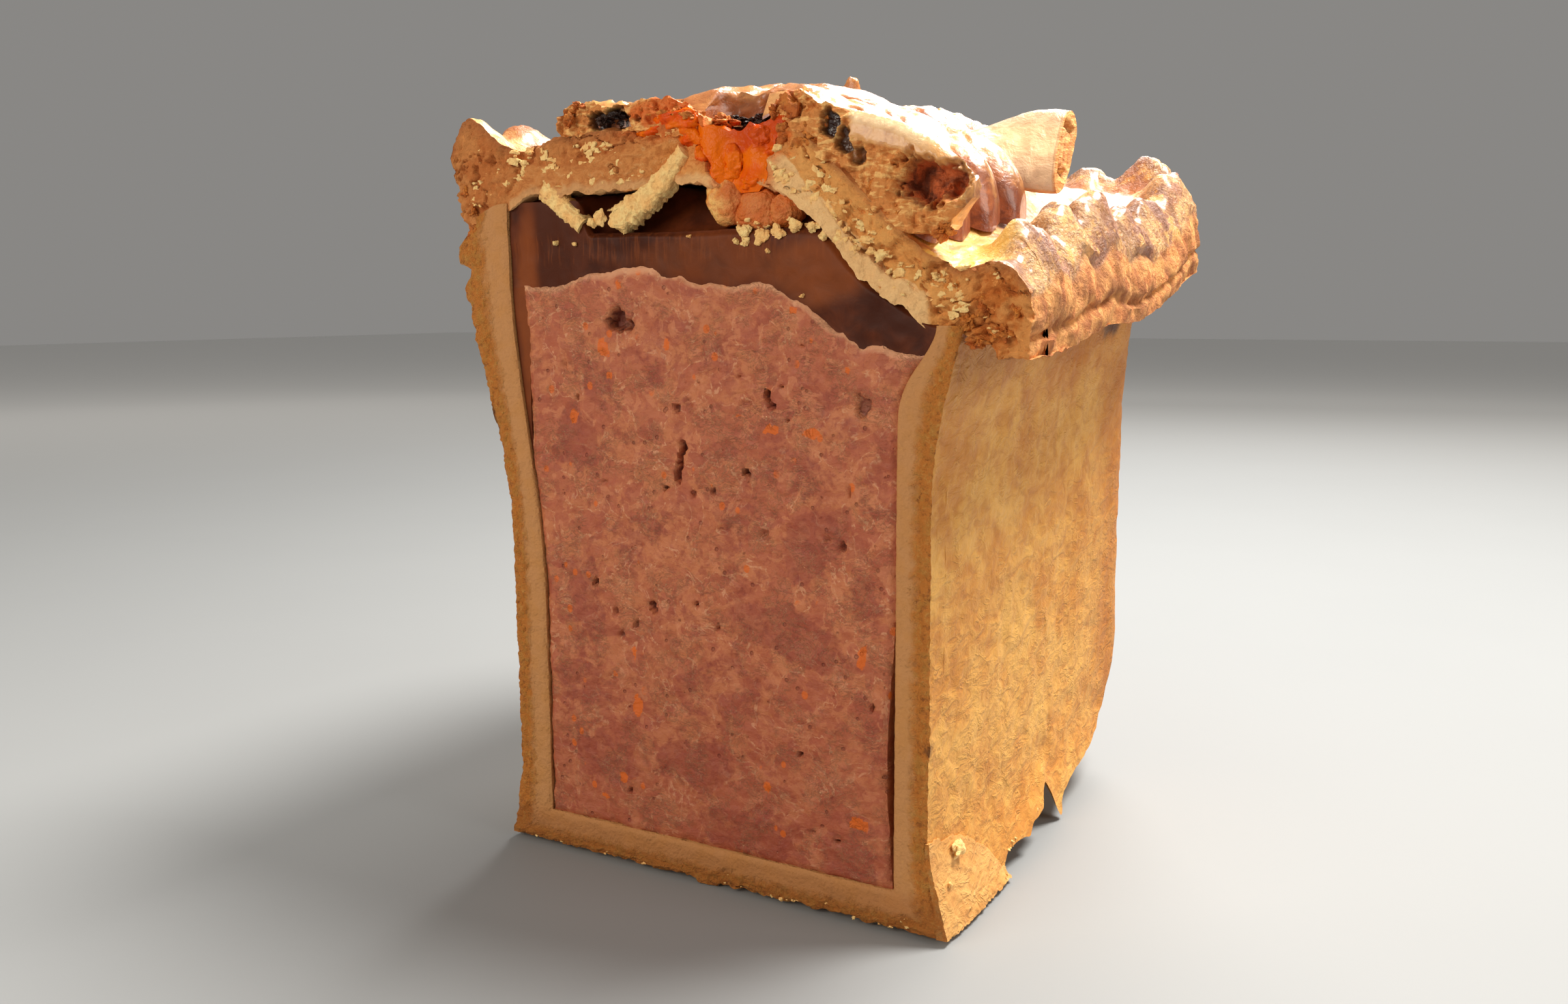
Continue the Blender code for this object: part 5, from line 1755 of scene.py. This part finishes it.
@dataclass
class TornDough:
    """Dough torn loose at the cut: a hanging strip, a tongue, a lump under the hole and stray crumbs."""

    crumbs: tuple = (
        (-25.5, 95.5, 0.5), (-22.1, 95.2, 0.35), (-1.6, 95.8, 0.3), (6.1, 94.9, 0.55), (7.7, 94.7, 0.7),
        (11.3, 93.4, 0.35), (16.6, 87.4, 0.35), (-17.3, 98.8, 1.3), (-18.6, 98.2, 0.8),
        (7.6, 96, 1.2), (10.2, 95.4, 1.1), (12.8, 95.8, 1.2), (15.4, 96.6, 1), (18, 96.4, 0.8),
        (20.0, 95.4, 0.8),
        (-36.2, 75.4, 0.9), (-35.6, 73.6, 0.7), (12.6, 104.6, 0.8), (14.4, 102.8, 0.9), (17.2, 101.4, 0.7),
        (-31.2, 106.2, 0.8), (-18.4, 107, 0.7), (-34.6, 104.6, 0.6),
    )
    pads: tuple = ((3.6, 3.2, 101, 3.6, 2.8, 3.9), (8.8, 3.4, 99.2, 4.4, 3, 3.6),
                   (13.2, 3.0, 99.0, 2.8, 2.5, 2.4))
    chips: int = 170
    flakes: int = 110
    hanging: int = 26
    hem_chips: int = 40
    foot_chips: int = 36
    seed: int = 11

    def strip(self, u: Array, v: Array, w: Array) -> Point:
        """A point of the hanging strip, which leans to the left and widens as it hangs."""
        side = 2 * w - 1
        u = u * (1 + 0.12 * Noise(0.9, 105, 3).lumps(side, v, u))
        half = 1.3 + 0.9 * u
        torn = (0.9 * Noise(1.3, 100, 4).ridges(u * 15, v, side) - 0.45) * (0.8 + 0.8 * u)
        out = half * side - torn * side * np.abs(side)
        bend = 0.9 * np.sin(math.pi * u)
        x = -2.4 - 11.9 * u - 0.62 * out + 0.5 * bend
        height = 107.6 - 9.2 * u + 0.785 * out - bend
        lump = 0.35 * Noise(1.5, 103, 3).lumps(x, v, height)
        edge = 0.7 * side**4
        return x, 0.15 + edge * (1 - v) + np.abs(lump) + 2.6 * v, height + lump * 0.5

    def tongue(self, u: Array, v: Array, w: Array) -> Point:
        """A point of the tongue beside it."""
        side = 2 * w - 1
        torn = 0.9 * Noise(1.2, 104, 4).ridges(u * 9, v, side) - 0.45
        out = (1.9 - 0.7 * u) * side - torn * side**2
        x = -27.6 + 7.0 * u + 0.6 * out
        height = 103.6 - 5.8 * u + 0.8 * out
        lump = 0.35 * Noise(1.4, 101, 4).lumps(x, v, height)
        return x, 0.3 + 0.7 * side**4 * (1 - v) + np.abs(lump) + 2.4 * v, height + lump * 0.5

    def places(self) -> list[tuple[float, float, float, float]]:
        """Where the chips lie: on the lid's cut, below the hole, on the brown bands and along the torn edge.

        Returns:
            Places across, behind the cut and up, and the size of each.
        """
        draw = np.random.default_rng(self.seed)
        found = []
        for _ in range(self.chips):
            x = draw.uniform(-44, 46)
            low, high = FORM.lid_under(x, 0), FORM.lid_top(x, 0)
            z, size = draw.uniform(low + 0.6, high - 0.6), draw.uniform(0.25, 0.65)
            if not -7 < x < 14:
                found.append((x, 0.9, z, size))
        for _ in range(self.flakes):
            x = draw.choice([draw.uniform(-34, -8), draw.uniform(13, 40)])
            low = FORM.lid_under(x, 0)
            found.append((x, 0.8, low + draw.uniform(0.8, 7.0), draw.uniform(0.6, 1.3)))
        for _ in range(self.hanging):
            x, depth, z = draw.uniform(6, 20.5), draw.uniform(0.9, 3), draw.uniform(-0.7, 0.5)
            found.append((x, depth, 97.2 + 0.7 * math.sin(x) + z, draw.uniform(0.3, 0.8)))
        for _ in range(self.hem_chips):
            depth = draw.uniform(0.5, 46)
            hem = FORM.torn_edge(1, depth)
            out = 37.6 if depth > 25 else 38.9
            found.append((out, depth, hem + draw.uniform(0.2, 1.0), draw.uniform(0.25, 0.6)))
        for _ in range(self.foot_chips):
            found.append((draw.uniform(-37, 37), 0.7, draw.uniform(0.5, 2.4), draw.uniform(0.25, 0.55)))
        return found

    def build(self) -> None:
        """Makes the torn dough and the chips."""
        parts = [Block("torn_strip", (90, 10, 30)).build(self.strip),
                 Block("torn_tongue", (60, 8, 28)).build(self.tongue)]
        parts += [Block(f"crumb_{n}", (12, 12, 12)).build(pebble(x, 0.9, z, (size * 1.1, 0.6, size), n))
                  for n, (x, z, size) in enumerate(self.crumbs)]
        parts += [Block("wall_crumb", (12, 12, 12)).build(pebble(37.1, 8.5, 10.6, (0.8, 1.5, 1.2), 31)),
                  Block("foot_crumb", (10, 10, 10)).build(pebble(37.6, 4.4, 7.0, (0.5, 0.6, 0.5), 32))]
        pattern = Block("chip", (3, 3, 3))
        first = pattern.unit_box()
        draw = np.random.default_rng(self.seed + 1)
        for n, (x, depth, z, size) in enumerate(self.places()):
            copy = first.copy()
            copy.data = first.data.copy()
            bpy.context.scene.collection.objects.link(copy)
            flat = np.array([1.0, 0.6 / max(1.0, 1.4 * size), draw.uniform(0.35, 0.9)]) * size
            parts.append(pattern.shape(copy, pebble(x, depth, z, tuple(flat), 200 + n, 0.5)))
        bpy.data.objects.remove(first)
        dress(join(parts, "torn_dough"), CrumbFinish().make(), "pastry_lid")
        soaked = pebbles("pad", (48, 30, 44), self.pads, 60, 0.12, 0.8)
        finish = CrumbFinish("soaked dough", cream=(250, 196, 114), golden=(228, 146, 64),
                             shade=(198, 86, 24), rough=0.5, soaked=True).make()
        dress(join(soaked, "hole_pad"), finish, "pastry_lid")


@dataclass
class FoldFlap:
    """The edge of the floor's dough, folded up thinly onto the foot of the right wall."""

    cells: tuple[int, int, int] = (90, 4, 50)
    top_line: tuple = ((-4, 14.5), (0, 14.2), (7, 12.8), (14, 10.6), (20, 6.4), (24.5, 1.6), (28, 1))

    def point(self, u: Array, v: Array, w: Array) -> Point:
        """A point of the flap: u along the wall, w up it, v through it."""
        depth = 25.5 * u
        top = profile(self.top_line, depth, 0.5) + 0.5 * Noise(2.0, 110, 4).lumps(depth, 0, 0)
        hem = 0.9 * Noise(1.3, 112, 3).ridges(depth, 0, 0) * (1 - w) ** 3
        height = top * w + hem
        wide = FORM.side_flare(np.ones_like(depth), height / FORM.right_seam, depth, 0.0)
        outside = FORM.half_width + FORM.foot(height) + wide
        low = np.sqrt(np.clip(1 - w, 0, 1))
        thin = (0.4 * ease(depth / 9) * low + 0.9 * (1 - w) ** 2) * np.sqrt(ease((1 - u) / 0.06))
        ragged = 0.4 * Noise(1.8, 111, 4).lumps(depth, 0, height) * (1 - w)
        x = outside - 0.6 + (0.6 + thin + np.abs(ragged)) * (1 - v)
        crumb = 0.35 * Noise(0.9, 113, 3).ridges(x, 0, height)
        return x, depth + (0.25 + crumb) * (1 - u), height

    def trimmed(self, u: Array, v: Array, w: Array, x: Array, depth: Array, height: Array) -> Array:
        """The front end lies on the cut."""
        return u < 0.001

    def build(self) -> None:
        """Makes the flap."""
        item = Block("fold_flap", self.cells).build(self.point, trimmed=self.trimmed)
        finish = CrustFinish(pale=(222, 168, 98), golden=(208, 148, 78), brown=(186, 120, 60)).make()
        dress(item, finish, "pastry_case")


@dataclass
class Studio:
    """A pale floor, soft light from behind on the right with a fill in front, and the camera."""

    camera_place: tuple[float, float, float] = (0.1036, -0.2024, 0.0863)
    yaw: float = math.radians(30.1)
    pitch: float = math.radians(8.6)
    roll: float = math.radians(-0.28)
    lens: float = 30.03
    lights: tuple = (
        ("key", (0.20, 0.19, 0.60), 0.26, 8.8, (1.0, 0.96, 0.90)),
        ("back", (-0.07, 0.50, 0.50), 0.30, 3.4, (1.0, 0.97, 0.93)),
        ("side", (0.60, -0.02, 0.30), 0.35, 1.3, (1.0, 0.94, 0.84)),
        ("fill", (-0.25, -0.62, 0.34), 0.5, 2.9, (1.0, 0.92, 0.80)),
    )

    def floor(self) -> None:
        """Adds the floor."""
        bpy.ops.object.select_all(action="DESELECT")
        bpy.ops.mesh.primitive_plane_add(size=6.0, location=(0, 0, -0.0002))
        plate = bpy.context.object
        bpy.ops.object.transform_apply(location=True, rotation=True, scale=True)
        plate.name = "floor"
        plate.data.materials.append(FloorFinish().make())

    def lamps(self) -> None:
        """Adds the soft lights and the sky."""
        for name, place, size, power, colour in self.lights:
            lamp = bpy.data.lights.new(name, "AREA")
            lamp.shape, lamp.size, lamp.energy, lamp.color = "DISK", size, power, colour
            item = bpy.data.objects.new(name, lamp)
            item.location, item.visible_camera = place, False
            aim = np.array([0.0, 0.0, 0.06]) - np.array(place)
            item.rotation_mode = "QUATERNION"
            item.rotation_quaternion = Vector(aim).to_track_quat("-Z", "Y")
            bpy.context.scene.collection.objects.link(item)
        world = bpy.data.worlds.new("soft sky")
        bpy.context.scene.world = world
        world.use_nodes = True
        sky = world.node_tree.nodes["Background"]
        sky.inputs["Color"].default_value = (1.0, 0.97, 0.93, 1.0)
        sky.inputs["Strength"].default_value = 0.25

    def camera(self) -> None:
        """Adds the camera at the viewing angle."""
        data = bpy.data.cameras.new("camera")
        data.lens, data.sensor_width, data.clip_start, data.clip_end = self.lens, 36.0, 0.01, 20.0
        item = bpy.data.objects.new("camera", data)
        bpy.context.scene.collection.objects.link(item)
        level = Vector((math.cos(self.yaw), math.sin(self.yaw), 0.0))
        ahead = Vector((-level.y, level.x, 0.0)) * math.cos(self.pitch)
        forward = ahead - Vector((0.0, 0.0, math.sin(self.pitch)))
        above = level.cross(forward)
        c, s = math.cos(self.roll), math.sin(self.roll)
        right, up = level * c + above * s, above * c - level * s
        turn = Matrix((right, up, -forward)).transposed()
        item.matrix_world = Matrix.Translation(self.camera_place) @ turn.to_4x4()
        bpy.context.scene.camera = item

    def build(self) -> None:
        """Adds all of it."""
        self.floor()
        self.lamps()
        self.camera()
        bpy.context.scene.view_settings.view_transform = "Standard"


def main() -> None:
    """Builds every piece, then the studio."""
    logging.basicConfig(level=logging.INFO, format="%(name)s %(message)s")
    for piece in (CrustCase, LidCap, DoughLeaf, LeafCut, Filling, Jelly, HoleJelly, HoleRim, TornDough,
                  FoldFlap):
        piece().build()
    Studio().build()


if __name__ == "__main__":
    main()
